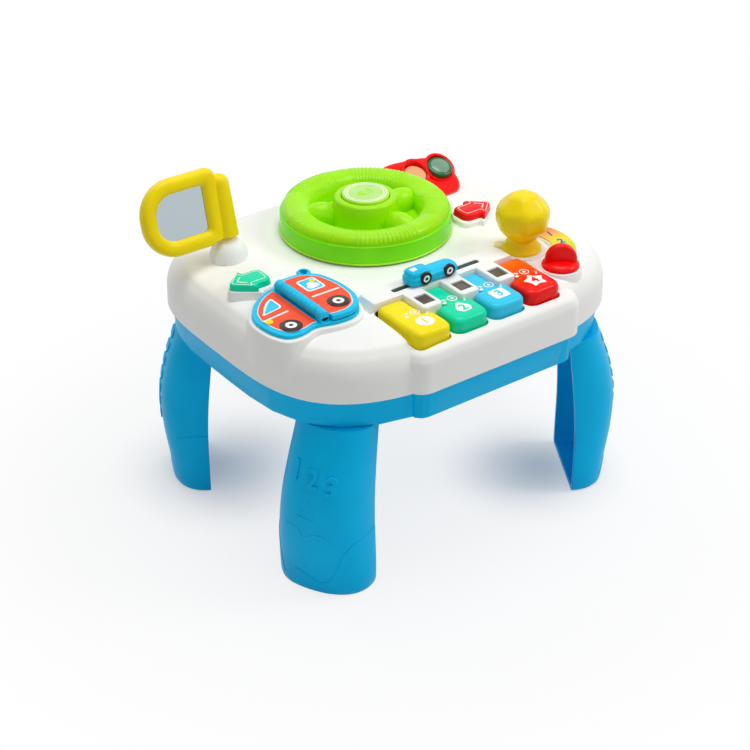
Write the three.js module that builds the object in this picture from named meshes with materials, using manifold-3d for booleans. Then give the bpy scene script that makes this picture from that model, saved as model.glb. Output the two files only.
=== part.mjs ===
// Toddler activity table: a hollow top shell with play pieces, a tray below it, and four channel legs.
// Millimetres, +Z up, +Y away from the child, +X to the child's right, soles at z = 0.

import * as THREE from 'three';
import { mergeVertices } from 'three/addons/utils/BufferGeometryUtils.js';
import Module from 'manifold-3d';

const wasm = await Module();
wasm.setup();

// Driving dimensions

const gap = 0.3;
const overrun = 6;
const wall = 2.6;
const weld = 0.001;

const legs = {
  x: 131, frontIn: 51.5, backIn: 43, turn: 30, slew: 6, high: 155.9, sole: 4, plate: 7, skin: 3, power: 2.4,
  halfChord: 41.5, deep: 41, lean: 10, pinX: 17, pinRadius: 4, pinHigh: 12, anchorY: 13,
};
// Height up the leg, half chord, depth and inward lean, each as a share of the leg's own size.
const legShares = [
  [0, 0.93, 0.73, 0], [0.022, 0.99, 0.785, 0], [0.15, 1, 0.84, 0], [0.36, 0.975, 0.95, 0.02],
  [0.56, 0.93, 1, 0.2], [0.76, 0.875, 0.93, 0.55], [0.91, 0.835, 0.80, 0.85], [1, 0.82, 0.73, 1],
];

const table = {
  x: 3.5, halfWidth: 172.5, frontDepth: 142.5, backDepth: 146, frontPower: 3.3, backPower: 4.2,
  trayHigh: 25.6, rise: 46.2, crown: 0.6, floor: 3, trayInset: 3, trayTaper: 2.5,
};
table.trayLow = legs.high + gap;
table.seam = table.trayLow + table.trayHigh;
table.deck = table.seam + table.rise;

// Some sizes are written over the deck or the tray's underside, or in from the table's front edge, and are
// carried there by name.
function carry(sizes, names, base) {
  names.forEach((name) => {
    sizes[name] += base;
  });
}

// How far the rounded rim has drawn in, and how much of its height is left, from seam to deck.
const rim = { draw: 62 };
const rimShares = [[0, 0], [0.01, 0.42], [0.055, 0.65], [0.13, 0.805], [0.3, 0.93], [1, 1]];
const bump = { x: 7.5, halfWidth: 88.5, front: -4.5, back: 84.5, corner: 16, top: -8.5, draw: 9 };
carry(bump, ['top'], table.deck);
carry(bump, ['front', 'back'], -table.frontDepth);
const bumpShares = [[0, 0], [0, 0.62], [0.08, 0.78], [0.34, 0.92], [1, 1]];
const recess = { left: -76, right: 80, back: 61.5, ledge: -8.5 };
carry(recess, ['ledge'], table.deck);
carry(recess, ['back'], -table.frontDepth);
const plateau = { x: -3, halfWidth: 70, back: 82.5, top: 7, foot: -4, slope: 5, corner: 6 };
carry(plateau, ['top', 'foot'], table.deck);
carry(plateau, ['back'], -table.frontDepth);

const keys = {
  count: 4, x: 2, pitch: 38, width: 34.5, front: 5.5, back: 60.5, low: -17, top: 3.5, play: 0.7, swing: 0.9,
  corner: 9, backCorner: 2.5, bevel: 3.2, roof: 2.4, side: 2.2, notchDeep: 28.2, tongueWidth: 12, tongueReach: 9.5,
  tongueLow: -20.8, tongueTop: -12.6, plungerRadius: 3, plungerLow: -23, plungerY: 24.5,
};
carry(keys, ['low', 'top', 'tongueLow', 'tongueTop', 'plungerLow'], table.deck);
carry(keys, ['front', 'back', 'plungerY'], -table.frontDepth);
const axle = { radius: 1.5, clearance: 0.35, y: 66.7, z: -16.8, sides: 10, lugThick: 4, lugHigh: -7, over: 9 };
carry(axle, ['z', 'lugHigh'], table.deck);
carry(axle, ['y'], -table.frontDepth);
const windows = {
  width: 19, length: 25.5, corner: 4, glassWidth: 12.5, glassLength: 14.5, y: 45.5, sunk: 1.2, thick: 2,
};
carry(windows, ['y'], -table.frontDepth);

const board = {
  x: 2, halfWidth: 84, front: 9.5, back: 56.5, thick: 1.6, low: -31.4, postRadius: 3.2, postInset: 4.5,
};
carry(board, ['low'], table.deck);
carry(board, ['front', 'back'], -table.frontDepth);
const strip = { halfWidth: 74, halfLength: 7, thick: 3.2, padRadius: 4.6, pad: 1.4 };
const batteries = {
  count: 3, radius: 7.1, length: 49, pitch: 15.2, z: 12.2, nubRadius: 2.6, nub: 1.4, x: 42, y: 8,
};
carry(batteries, ['z'], table.trayLow);
const bay = { halfWidth: 24.4, halfLength: 27.6, skin: 2.2, top: 22.2, lip: 2.4, tab: 15, screwUp: 9 };
carry(bay, ['top'], table.trayLow);
const speaker = { x: -70, y: 24, radius: 26, thick: 3, magnetRadius: 13, magnetThick: 9, ringThick: 2, ringUp: 5 };
const grille = { rings: 2, perRing: 6, pitch: 8, hole: 2 };
const powerSwitch = {
  x: 76, y: 46, knobX: 5, knobY: 8, knobLow: -1.8, slide: 4, plateX: 22, plateY: 14, thick: 2.4,
};
carry(powerSwitch, ['knobLow'], table.trayLow);

const legScrew = { shank: 1.7, head: 4, headThick: 2.6, up: 17, boss: 6.5, bossUp: 20, hole: 2.1, passage: 2.4 };
const caseScrew = {
  shank: 1.5, head: 3.6, headThick: 2.4, up: 16, post: 4.6, hole: 1.9, pocket: 4.2, pocketUp: 9.3, cup: 6.2,
  cupUp: 11.8, frontX: -92, frontIn: 38.5, sideX: 120, sideIn: 92.5, backX: 96, backIn: 54,
};
const caseScrewPlaces = [
  [caseScrew.frontX, caseScrew.frontIn - table.frontDepth],
  [caseScrew.sideX, caseScrew.sideIn - table.frontDepth],
  [-caseScrew.backX, table.backDepth - caseScrew.backIn],
  [caseScrew.backX, table.backDepth - caseScrew.backIn],
];

const wheel = {
  x: 8.8, y: 43.9, outer: 72.4, inner: 47, low: 5.4, rimTop: 26.2, floorThick: 2.4, sides: 28,
  hubRadius: 27.5, hubTop: 31.6, hubBevel: 3, wellRadius: 21.2, wellLow: 22, stemRadius: 9, stemLow: -21.5,
  spokeReach: 38, spokeLong: 19, spokeWide: 11.5, spokeHigh: 14.6, spokeLow: 11, skin: 3,
};
carry(wheel, ['low', 'rimTop', 'hubTop', 'wellLow', 'stemLow', 'spokeLow'], table.deck);
const spokeAngles = [149, 3, -75];
const skirt = { low: 2, flange: 75.4, flangeThick: 1.4, outer: 74.3, top: 18.5 };
carry(skirt, ['low', 'top'], table.deck);
const horn = { radius: 20.7, top: 33.8, low: 26.4, bevel: 1.6, stemRadius: 6, stemLow: 23.4 };
carry(horn, ['top', 'low', 'stemLow'], table.deck);
const plinthRing = { radius: 64, top: 1.7 };
carry(plinthRing, ['top'], table.deck);
const bearing = { radius: 13.5, bore: 9.5, low: -21.5 };
carry(bearing, ['low'], table.deck);
const retainer = { radius: 12.6, thick: 2, screwHead: 5, screwHeadThick: 3, shank: 2.2, up: 14 };

const mirror = {
  x: -115, y: 70, leanAngle: 13, domeRadius: 16.5, domeHigh: 18, pinRadius: 2.4, pinDown: 15, pinUp: 26,
  pinPlay: 0.4, barrelRadius: 7.4, barrelLow: 0.6, barrelLong: 58, width: 73, high: 66, thick: 13, bevel: 4.2,
  band: 13.2, square: 9, round: 30, glassThick: 1.6, glassLap: 2.2, slotPlay: 0.25, drop: 3,
};

const book = {
  spineX: -120.5, y: 96.5, halfWidth: 44.5, halfDepth: 39.5, plinthGrow: 3.6, plinthTop: 2.4, plinthFoot: -32,
  baseLow: 2.7, baseTop: 5.6, cardThick: 0.7, cardInset: 4.2, pageLow: 6.9, pageTop: 10.6, spineRadius: 4.6,
  spineZ: 10.6, spineHalf: 33, knuckle: 9, pinRadius: 1.3, pinPlay: 0.35, play: 0.5, wheelRadius: 9.5,
  tabRadius: 6.4, tabX: 29, tabY: 39, pageX: -114.9, cardX: -126.3,
};
carry(book, ['plinthTop', 'plinthFoot', 'baseLow', 'baseTop', 'pageLow', 'pageTop', 'spineZ'], table.deck);
carry(book, ['y'], -table.frontDepth);
const vanShares = [
  [-0.96, -0.55], [-1, -0.08], [-0.93, 0.25], [-0.66, 0.64], [-0.28, 0.92], [0.12, 1], [0.6, 0.99],
  [0.86, 0.72], [0.98, 0.1], [0.95, -0.45], [0.78, -0.82], [0.52, -0.96], [0.2, -0.94], [-0.2, -0.8],
  [-0.48, -0.92], [-0.8, -0.9],
];

const arrows = {
  length: 37, headWide: 32, tailWide: 19, headShare: 0.52, round: 4.5, rise: 5.6, plinthRise: 5, plinthGrow: 3.6,
  low: -8.6, lip: 2, lipThick: 2.2, play: 0.6, bevel: 1.8, skirtLow: -15,
  leftX: -136, behindBook: 56, rightX: 98, rightY: 3,
};
carry(arrows, ['plinthRise', 'low', 'skirtLow'], table.deck);
const arrowPlaces = [
  { name: 'arrow_left', x: arrows.leftX, y: book.y + arrows.behindBook, direction: -1 },
  { name: 'arrow_right', x: arrows.rightX, y: arrows.rightY, direction: 1 },
];

const slider = {
  y: 70.5, slotLeft: -50, slotRight: 40, slotWide: 4.6, x: -11, length: 50, wide: 17, low: 7.4, bodyTop: 17,
  cabTop: 21.4, cabRear: -23, cabFront: -2, corner: 4, bevel: 2, stemLong: 11, stemWide: 3.6, stemLow: -0.6,
  clipLong: 16, clipWide: 9, clipThick: 2, wheelRadius: 5, wheelOut: 1, wheelZ: 12.6, rearWheelX: -11, frontWheelX: 14,
};
carry(slider, ['low', 'bodyTop', 'cabTop', 'stemLow', 'wheelZ'], table.deck);
carry(slider, ['y'], -table.frontDepth);

const gear = {
  x: 91, y: 74.5, seat: 20, seatTop: 1, baseRadius: 14, neckRadius: 10.5, waist: 15, headZ: 34, headRadius: 24,
  headSquash: 0.94, stemRadius: 6, stemLow: -19, bore: 6.5, boss: 9.5, bossLow: -17, tongueLong: 24,
  tongueWide: 13, tongueThick: 2, tongueTurn: 128,
};
carry(gear, ['seatTop', 'waist', 'headZ', 'stemLow', 'bossLow'], table.deck);
carry(gear, ['y'], -table.frontDepth);
const dial = {
  inner: 27.5, outer: 43, startAngle: -54, endAngle: 20, low: 0.7, thick: 0.8, plinthGrow: 1.6, plinthTop: 0.4,
};
carry(dial, ['low', 'plinthTop'], table.deck);

const knob = {
  x: 99, y: 33.5, seatRadius: 17.4, seatTop: -0.6, seatLow: -16, radius: 16, collar: 4, finRadius: 13.5,
  finThick: 8, finBevel: 2.4, finTurn: -36, high: 19.5, stemRadius: 4, stemLow: -19, bore: 4.4, boss: 7.2,
  bossLow: -17,
};
carry(knob, ['seatTop', 'seatLow', 'stemLow', 'bossLow'], table.deck);
carry(knob, ['y'], -table.frontDepth);

// Traffic lamps: the outline is measured in the leaning top face, from the middle x, y at height topZ.
const traffic = {
  x: 98, y: 78, topZ: 12.4, tilt: 22, thick: 30, bevel: 3, plinthTop: 0.6, plinthFoot: -7, plinthGrow: 1.6,
  corner: 11, halfLong: 40, halfDeep: 32, lensPlay: 0.3, lensSunk: 5, lip: 1.4, hoodWall: 2.8, hoodHigh: 6.4,
  wheelRoom: 77.6,
};
carry(traffic, ['topZ', 'plinthTop', 'plinthFoot'], table.deck);
const trafficShares = [
  [-0.35, -0.97], [0.45, -1], [0.78, -0.63], [0.85, -0.06], [0.78, 0.41], [0.35, 0.69], [-0.6, 0.78], [-0.95, 0.66],
];
const lenses = [
  { name: 'traffic_lens_green', x: 18.7, y: 0.4, radius: 11.8, high: 5.2, colour: 0x0c6b2c },
  { name: 'traffic_lens_amber', x: -6.5, y: 3.4, radius: 10.6, high: 1.4, colour: 0xe8893a },
];

const colours = {
  white: 0xf3f3ef, blue: 0x0098cc, green: 0x8fe600, glassGreen: 0x58d800, yellow: 0xf8dc00, gearYellow: 0xefd000,
  red: 0xf21414, teal: 0x00c98a, sky: 0x00aee2, orange: 0xf85a1e, smoke: 0x5a544c, silver: 0xc8ccd0, steel: 0x9a9ea3,
  black: 0x222222, board: 0x1f6b3a, card: 0xff462d, rubber: 0x55585a,
};

// Solids

function signedVolume(positions, index) {
  const a = new THREE.Vector3();
  const b = new THREE.Vector3();
  const c = new THREE.Vector3();
  let sum = 0;
  for (let i = 0; i < index.length; i += 3) {
    a.fromArray(positions, index[i] * 3);
    b.fromArray(positions, index[i + 1] * 3);
    c.fromArray(positions, index[i + 2] * 3);
    sum += a.dot(b.cross(c));
  }
  return sum;
}

// Triangles that merging has collapsed to a line are left out.
function wholeTriangles(index) {
  const kept = [];
  for (let i = 0; i < index.length; i += 3) {
    const [a, b, c] = [index[i], index[i + 1], index[i + 2]];
    if (a !== b && b !== c && c !== a) kept.push(a, b, c);
  }
  return kept;
}

// A closed three.js geometry becomes a solid that can be cut and joined.
function solid(geometry) {
  const plain = geometry.clone();
  plain.deleteAttribute('normal');
  plain.deleteAttribute('uv');
  const merged = mergeVertices(plain, weld);
  const vertProperties = new Float32Array(merged.attributes.position.array);
  const triVerts = new Uint32Array(wholeTriangles(merged.index.array));
  if (signedVolume(vertProperties, triVerts) < 0) {
    for (let i = 0; i < triVerts.length; i += 3) {
      [triVerts[i + 1], triVerts[i + 2]] = [triVerts[i + 2], triVerts[i + 1]];
    }
  }
  return new wasm.Manifold(new wasm.Mesh({ numProp: 3, vertProperties, triVerts }));
}

function toGeometry(body) {
  const mesh = body.getMesh();
  const geometry = new THREE.BufferGeometry();
  geometry.setAttribute('position', new THREE.BufferAttribute(new Float32Array(mesh.vertProperties), 3));
  geometry.setIndex(new THREE.BufferAttribute(new Uint32Array(mesh.triVerts), 1));
  return geometry;
}

function join(first, ...rest) {
  return rest.reduce((sum, next) => sum.add(next), first);
}

function cut(first, ...rest) {
  return rest.reduce((left, next) => left.subtract(next), first);
}

// Level rings of equal count become one closed skin, capped at both ends.
function loft(rings) {
  const count = rings[0].length;
  const index = [];
  for (let level = 0; level + 1 < rings.length; level += 1) {
    for (let i = 0; i < count; i += 1) {
      const a = level * count + i;
      const b = level * count + ((i + 1) % count);
      index.push(a, b, b + count, a, b + count, a + count);
    }
  }
  const caps = [[0, true], [rings.length - 1, false]];
  for (const [level, flip] of caps) {
    const contour = rings[level].map((point) => new THREE.Vector2(point.x, point.y));
    const leftward = THREE.ShapeUtils.area(contour) > 0;
    for (const [a, b, c] of THREE.ShapeUtils.triangulateShape(contour, [])) {
      const face = [level * count + a, level * count + b, level * count + c];
      index.push(...(flip === leftward ? face.reverse() : face));
    }
  }
  const geometry = new THREE.BufferGeometry();
  const flat = new Float32Array(rings.flat().flatMap((point) => [point.x, point.y, point.z]));
  geometry.setAttribute('position', new THREE.BufferAttribute(flat, 3));
  geometry.setIndex(index);
  return solid(geometry);
}

function block(left, right, front, back, low, high) {
  const geometry = new THREE.BoxGeometry(right - left, back - front, high - low);
  geometry.translate((left + right) / 2, (front + back) / 2, (low + high) / 2);
  return solid(geometry);
}

function rod(radius, low, high, x = 0, y = 0, sides = 24) {
  const geometry = new THREE.CylinderGeometry(radius, radius, high - low, sides);
  geometry.rotateX(Math.PI / 2);
  geometry.translate(x, y, (low + high) / 2);
  return solid(geometry);
}

function rodAlongX(radius, left, right, y, z, sides = 12) {
  const geometry = new THREE.CylinderGeometry(radius, radius, right - left, sides);
  geometry.rotateZ(Math.PI / 2);
  geometry.translate((left + right) / 2, y, z);
  return solid(geometry);
}

function rodAlongY(radius, front, back, x, z, sides = 16) {
  const geometry = new THREE.CylinderGeometry(radius, radius, back - front, sides);
  geometry.translate(x, (front + back) / 2, z);
  return solid(geometry);
}

// A profile of radius and height pairs is turned about the Z axis through x, y.
function turned(profile, x = 0, y = 0, sides = 32) {
  const geometry = new THREE.LatheGeometry(profile.map(([r, z]) => new THREE.Vector2(r, z)), sides);
  geometry.rotateX(Math.PI / 2);
  geometry.translate(x, y, 0);
  return solid(geometry);
}

function slab(shape, low, high, curveSegments = 5) {
  const geometry = new THREE.ExtrudeGeometry(shape, { depth: high - low, bevelEnabled: false, curveSegments });
  geometry.translate(0, 0, low);
  return solid(geometry);
}

function ringOf(shape, z, curveSegments) {
  const points = shape.getPoints(curveSegments);
  if (points[0].distanceTo(points[points.length - 1]) < weld) points.pop();
  return points.map((point) => new THREE.Vector3(point.x, point.y, z));
}

// Shares of a bevel: how far the outline has drawn in, and how far it is from the end face.
const bevelShares = [[0, 1], [0.3, 0.3], [1, 0]];

// A plate whose outline, given by a margin, is bevelled at the top and, where asked, below.
function pad(shapeAt, low, high, bevel, both = false, curveSegments = 4) {
  const upper = bevelShares.map(([draw, left]) => ringOf(shapeAt(-bevel * draw), high - bevel * left, curveSegments));
  const lower = bevelShares.map(([draw, left]) => ringOf(shapeAt(-bevel * draw), low + bevel * left, curveSegments));
  return loft([...(both ? lower.reverse() : [ringOf(shapeAt(0), low, curveSegments)]), ...upper]);
}

// The most of a side that one corner's rounding may use.
const sideShare = 0.48;

// A polygon whose corners are rounded, by one radius or by one for each corner.
function roundedShape(points, radius) {
  const shape = new THREE.Shape();
  const count = points.length;
  points.forEach((corner, i) => {
    const before = points[(i + count - 1) % count];
    const after = points[(i + 1) % count];
    const inward = before.clone().sub(corner);
    const outward = after.clone().sub(corner);
    const wanted = Array.isArray(radius) ? radius[i] : radius;
    const reach = Math.min(wanted, inward.length() * sideShare, outward.length() * sideShare);
    const start = corner.clone().add(inward.setLength(reach));
    const end = corner.clone().add(outward.setLength(reach));
    if (i === 0) shape.moveTo(start.x, start.y);
    else shape.lineTo(start.x, start.y);
    shape.quadraticCurveTo(corner.x, corner.y, end.x, end.y);
  });
  shape.closePath();
  return shape;
}

function rectangle(left, right, front, back, radius) {
  const corners = [[left, front], [right, front], [right, back], [left, back]];
  return roundedShape(corners.map(([x, y]) => new THREE.Vector2(x, y)), radius);
}

// The table's outline

const outlineSides = 36;

function outlineRing(inset, z) {
  const ring = [];
  for (let i = 0; i < outlineSides; i += 1) {
    const angle = (i / outlineSides) * 2 * Math.PI;
    const c = Math.cos(angle);
    const s = Math.sin(angle);
    const power = s < 0 ? table.frontPower : table.backPower;
    const depth = (s < 0 ? table.frontDepth : table.backDepth) - inset;
    const reach = (Math.abs(c / (table.halfWidth - inset)) ** power + Math.abs(s / depth) ** power) ** (-1 / power);
    ring.push(new THREE.Vector3(table.x + reach * c, reach * s, z));
  }
  return ring;
}

const bumpCornerSteps = 3;

function bumpRing(inset, z) {
  const corner = bump.corner - Math.min(inset, bump.corner / 2);
  const halfWidth = bump.halfWidth - inset - corner;
  const front = bump.front + inset + corner;
  const back = bump.back - corner;
  const centres = [[halfWidth, front, -90], [halfWidth, back, 0], [-halfWidth, back, 90], [-halfWidth, front, 180]];
  return centres.flatMap(([x, y, from]) => Array.from({ length: bumpCornerSteps + 1 }, (_, step) => {
    const angle = THREE.MathUtils.degToRad(from + (90 * step) / bumpCornerSteps);
    return new THREE.Vector3(bump.x + x + corner * Math.cos(angle), y + corner * Math.sin(angle), z);
  }));
}

function shellMass(inset, drop, low) {
  const main = rimShares.map(([draw, rise]) => outlineRing(
    inset + rim.draw * draw, table.seam + (table.rise - drop) * rise,
  ));
  main[0] = outlineRing(inset, low);
  const peak = main[main.length - 1].map((point) => new THREE.Vector3(
    (table.x + point.x) / 2, point.y / 2, table.deck + table.crown - drop,
  ));
  const front = bumpShares.map(([draw, rise]) => bumpRing(
    inset + bump.draw * draw, table.seam + (bump.top - table.seam - drop) * rise,
  ));
  front[0] = bumpRing(inset, low);
  const dip = block(
    recess.left - inset, recess.right + inset, bump.front - overrun, recess.back + inset,
    recess.ledge - drop, table.deck + overrun,
  );
  const bookPlinth = vanMass(book.plinthGrow - inset, book.plinthFoot, book.plinthTop - drop).intersect(
    loft([outlineRing(inset + gap, table.seam), outlineRing(inset + gap, table.deck + overrun)]),
  );
  return join(cut(join(loft([...main, peak]), loft(front)), dip), plateauMass(inset, drop), bookPlinth);
}

function plateauMass(inset, drop) {
  const left = plateau.x - plateau.halfWidth + inset;
  const right = plateau.x + plateau.halfWidth - inset;
  const front = recess.back + inset;
  const back = plateau.back - inset;
  const ring = (grow, z) => ringOf(rectangle(left - grow, right + grow, front, back + grow, plateau.corner), z, 3);
  return loft([
    ring(plateau.slope, plateau.foot - drop), ring(plateau.slope, table.deck - drop), ring(0, plateau.top - drop),
  ]);
}

function keyX(i) {
  return keys.x + (i - (keys.count - 1) / 2) * keys.pitch;
}

function windowX(i) {
  return (keyX(i) + keyX(i + 1)) / 2;
}

const postLow = table.trayLow + caseScrew.cupUp + gap;

// Arrow buttons point away from the wheel, one each way.
function arrowShape({ x, y, direction }, grow) {
  const half = arrows.length / 2 + grow;
  const head = arrows.length / 2 - arrows.length * arrows.headShare - grow;
  const wide = arrows.headWide / 2 + grow;
  const tail = arrows.tailWide / 2 + grow;
  const places = [[half, 0], [head, wide], [head, tail], [-half, tail], [-half, -tail], [head, -tail], [head, -wide]];
  const points = places.map(([along, across]) => new THREE.Vector2(x + direction * along, y + across));
  return roundedShape(direction > 0 ? points.reverse() : points, arrows.round + grow);
}

// The picture book's van outline, grown outward by a margin; the cards laid on it leave out its ear.
function vanMass(grow, low, high, bevel = 0) {
  const shapeAt = (margin) => roundedShape(vanShares.map(([x, y]) => new THREE.Vector2(
    book.spineX + x * (book.halfWidth + grow + margin), book.y + y * (book.halfDepth + grow + margin),
  )), book.wheelRadius);
  const body = bevel > 0 ? pad(shapeAt, low, high, bevel, false, 2) : slab(shapeAt(0), low, high, 2);
  if (grow < -book.play) return body;
  return join(body, rod(book.tabRadius + grow, low, high, book.spineX + book.tabX, book.y + book.tabY, 12));
}

// What hangs below the deck: bearings, posts and lugs, ended inside the shell's own wall.
function underParts() {
  const high = table.deck + 2 * wall;
  const parts = [
    rod(bearing.radius, bearing.low, high, wheel.x, wheel.y, 20),
    rod(gear.boss, gear.bossLow, high, gear.x, gear.y, 16),
    rod(knob.boss, knob.bossLow, high, knob.x, knob.y, 16),
    ...caseScrewPlaces.map(([x, y]) => rod(caseScrew.post, postLow, high, x, y, 10)),
  ];
  for (const side of [-1, 1]) {
    const x = board.x + side * (board.halfWidth - board.postInset);
    for (const y of [board.front + board.postInset, board.back - board.postInset]) {
      parts.push(rod(board.postRadius, board.low + board.thick + gap, recess.ledge, x, y, 8));
    }
  }
  for (let i = 0; i + 1 < keys.count; i += 1) {
    const x = windowX(i);
    parts.push(block(
      x - axle.lugThick / 2, x + axle.lugThick / 2, recess.back + gap, axle.y + axle.lugThick,
      axle.z - axle.lugThick, axle.lugHigh,
    ));
  }
  const core = shellMass(wall / 2, wall / 2, table.trayLow);
  return join(...parts).intersect(core);
}

// What stands on the deck: seats, plinths and the mirror's dome.
function upperParts() {
  const innerTop = table.deck - wall;
  const clearOfWheel = rod(
    traffic.wheelRoom - gap, plinthRing.top - wall / 2, table.deck + 4 * overrun, wheel.x, wheel.y, wheel.sides,
  );
  const raised = arrowPlaces.map((place) => pad(
    (margin) => arrowShape(place, arrows.plinthGrow + margin), arrows.skirtLow, arrows.plinthRise, arrows.bevel, false, 3,
  ));
  raised.push(slab(trafficShape(traffic.plinthGrow, true), traffic.plinthFoot, traffic.plinthTop, 3));
  const frames = Array.from({ length: keys.count - 1 }, (_, i) => {
    const half = windows.width / 2;
    const front = windows.y - windows.length / 2;
    return pad((margin) => rectangle(
      windowX(i) - half - margin, windowX(i) + half + margin, front - margin, recess.back + wall, windows.corner,
    ), recess.ledge - wall, plateau.top, 2 * gap, false, 2);
  });
  return [
    turned([[0, innerTop], [plinthRing.radius + wall, innerTop], [plinthRing.radius + wall, table.deck],
      [plinthRing.radius, plinthRing.top], [0, plinthRing.top]], wheel.x, wheel.y, wheel.sides),
    ...raised.map((body) => cut(body, clearOfWheel)),
    ...frames,
    turned([[0, innerTop], [gear.seat + wall / 2, innerTop], [gear.seat, gear.seatTop], [0, gear.seatTop]], gear.x, gear.y, 28),
    arcPlate(dial.inner - dial.plinthGrow, dial.outer + dial.plinthGrow, dial.plinthGrow, table.deck - 3 * wall, dial.plinthTop),
    turned([[0, knob.seatLow], [knob.seatRadius + wall / 2, knob.seatLow], [knob.seatRadius, knob.seatTop],
      [0, knob.seatTop]], knob.x, knob.y, 28),
    mirrorDome(innerTop),
  ].map((body) => cut(body, outsideRim()));
}

// Holes through the finished shell.
function shellHoles() {
  const holes = [
    rod(bearing.bore, bearing.low - overrun, plinthRing.top + overrun, wheel.x, wheel.y, 20),
    rod(gear.bore, gear.bossLow - overrun, gear.seatTop + overrun, gear.x, gear.y, 16),
    rod(knob.bore, knob.bossLow - overrun, knob.seatTop + overrun, knob.x, knob.y, 16),
    leaning(rod(mirror.pinRadius + mirror.pinPlay, -mirror.pinDown, mirror.pinUp, 0, 0, 12)),
    rodAlongX(axle.radius + axle.clearance, keyX(0), keyX(keys.count - 1), axle.y, axle.z, axle.sides),
    slab(rectangle(
      slider.slotLeft, slider.slotRight, slider.y - slider.slotWide / 2, slider.y + slider.slotWide / 2, slider.slotWide / 2,
    ), table.deck - 2 * wall, plateau.top + overrun, 3),
    ...caseScrewPlaces.map(([x, y]) => rod(caseScrew.hole, postLow - overrun, postLow + caseScrew.up, x, y, 8)),
  ];
  for (const place of arrowPlaces) {
    holes.push(slab(arrowShape(place, arrows.play), arrows.low - 2 * overrun, arrows.plinthRise + overrun, 3));
    holes.push(slab(
      arrowShape(place, arrows.play + arrows.lip), arrows.low - 2 * overrun, arrows.low + arrows.lipThick + gap, 3,
    ));
  }
  for (let i = 0; i + 1 < keys.count; i += 1) {
    const x = windowX(i);
    const halfX = windows.glassWidth / 2;
    const halfY = windows.glassLength / 2;
    const low = recess.ledge - 2 * wall;
    const step = wall / 2;
    holes.push(block(x - halfX, x + halfX, windows.y - halfY, windows.y + halfY, low, plateau.top + overrun));
    holes.push(block(
      x - halfX - step, x + halfX + step, windows.y - halfY - step, windows.y + halfY + step, low, plateau.top - windows.sunk,
    ));
  }
  for (let i = 0; i < keys.count; i += 1) {
    holes.push(slab(keyShape(i, keys.play, keys.swing), recess.ledge - 2 * wall, recess.ledge + gap, 3));
  }
  return holes;
}

function topShell() {
  const outer = shellMass(0, 0, table.seam);
  const inner = shellMass(wall, wall, table.seam - overrun);
  return cut(join(cut(outer, inner), underParts(), ...upperParts()), ...shellHoles());
}

// What the posts and seats must not reach: everything outside the rounded rim.
let rimKeeper = null;
function outsideRim() {
  if (!rimKeeper) {
    const reach = table.halfWidth + 2 * overrun;
    const big = block(-reach, reach, -reach, reach, table.trayLow, table.deck + 4 * overrun);
    const tall = [outlineRing(1.5 * gap, table.trayLow - overrun), outlineRing(1.5 * gap, table.deck + 5 * overrun)];
    const front = [bumpRing(1.5 * gap, table.trayLow - overrun), bumpRing(1.5 * gap, table.deck + 5 * overrun)];
    rimKeeper = cut(big, loft(tall), loft(front));
  }
  return rimKeeper;
}

// Pieces on the mirror's leaning axis are made upright about the dome's top, then leaned back.
const mirrorFoot = table.deck + mirror.domeHigh;

function leaning(body) {
  return body.rotate([-mirror.leanAngle, 0, 0]).translate([mirror.x, mirror.y, mirrorFoot]);
}

function mirrorDome(low) {
  const steps = 5;
  const profile = [[0, low], [mirror.domeRadius, low]];
  for (let i = 0; i < steps; i += 1) {
    const angle = (i / steps) * Math.PI / 2;
    profile.push([mirror.domeRadius * Math.cos(angle), table.deck + mirror.domeHigh * Math.sin(angle)]);
  }
  profile.push([0, mirrorFoot]);
  return turned(profile, mirror.x, mirror.y, 24);
}

function arcPlate(inner, outer, grow, low, high) {
  const shape = new THREE.Shape();
  const margin = grow / outer;
  const from = THREE.MathUtils.degToRad(dial.startAngle) - margin;
  const to = THREE.MathUtils.degToRad(dial.endAngle) + margin;
  shape.absarc(gear.x, gear.y, outer, from, to, false);
  shape.absarc(gear.x, gear.y, inner, to, from, true);
  shape.closePath();
  return slab(shape, low, high, 8);
}

// A key's outline in plan, with its back corners notched round the lamp windows.
function keyShape(i, grow, ahead = 0) {
  const x = keyX(i);
  const half = keys.width / 2 + grow;
  const front = keys.front - grow - ahead;
  const back = keys.back + grow;
  const notchBack = keys.back - keys.notchDeep + grow;
  const notch = windows.width / 2 - (keys.pitch - keys.width) / 2 + keys.play - grow;
  const left = i > 0;
  const right = i + 1 < keys.count;
  const points = [[x - half, front], [x + half, front]];
  if (right) points.push([x + half, notchBack], [x + half - notch - grow, notchBack], [x + half - notch - grow, back]);
  else points.push([x + half, back]);
  if (left) points.push([x - half + notch + grow, back], [x - half + notch + grow, notchBack], [x - half, notchBack]);
  else points.push([x - half, back]);
  return roundedShape(points.map(([px, py]) => new THREE.Vector2(px, py)), points.map(([, py]) => (
    py < notchBack - keys.corner ? keys.corner + grow / 2 : keys.backCorner
  )));
}

function keyCap(i) {
  const x = keyX(i);
  const outer = pad((margin) => keyShape(i, margin), keys.low, keys.top, keys.bevel, false, 3);
  const hollow = slab(keyShape(i, -keys.side), keys.low - overrun, keys.top - keys.roof - keys.bevel / 2, 2);
  const tongue = block(
    x - keys.tongueWidth / 2, x + keys.tongueWidth / 2, keys.back - keys.side, keys.back + keys.tongueReach,
    keys.tongueLow, keys.tongueTop,
  );
  const plunger = rod(keys.plungerRadius, keys.plungerLow, keys.top - keys.roof, x, keys.plungerY, 8);
  const bore = rodAlongX(axle.radius + axle.clearance, x - keys.width, x + keys.width, axle.y, axle.z, axle.sides);
  return cut(join(cut(outer, hollow), tongue, plunger), bore);
}

// Tray and what it holds

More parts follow.
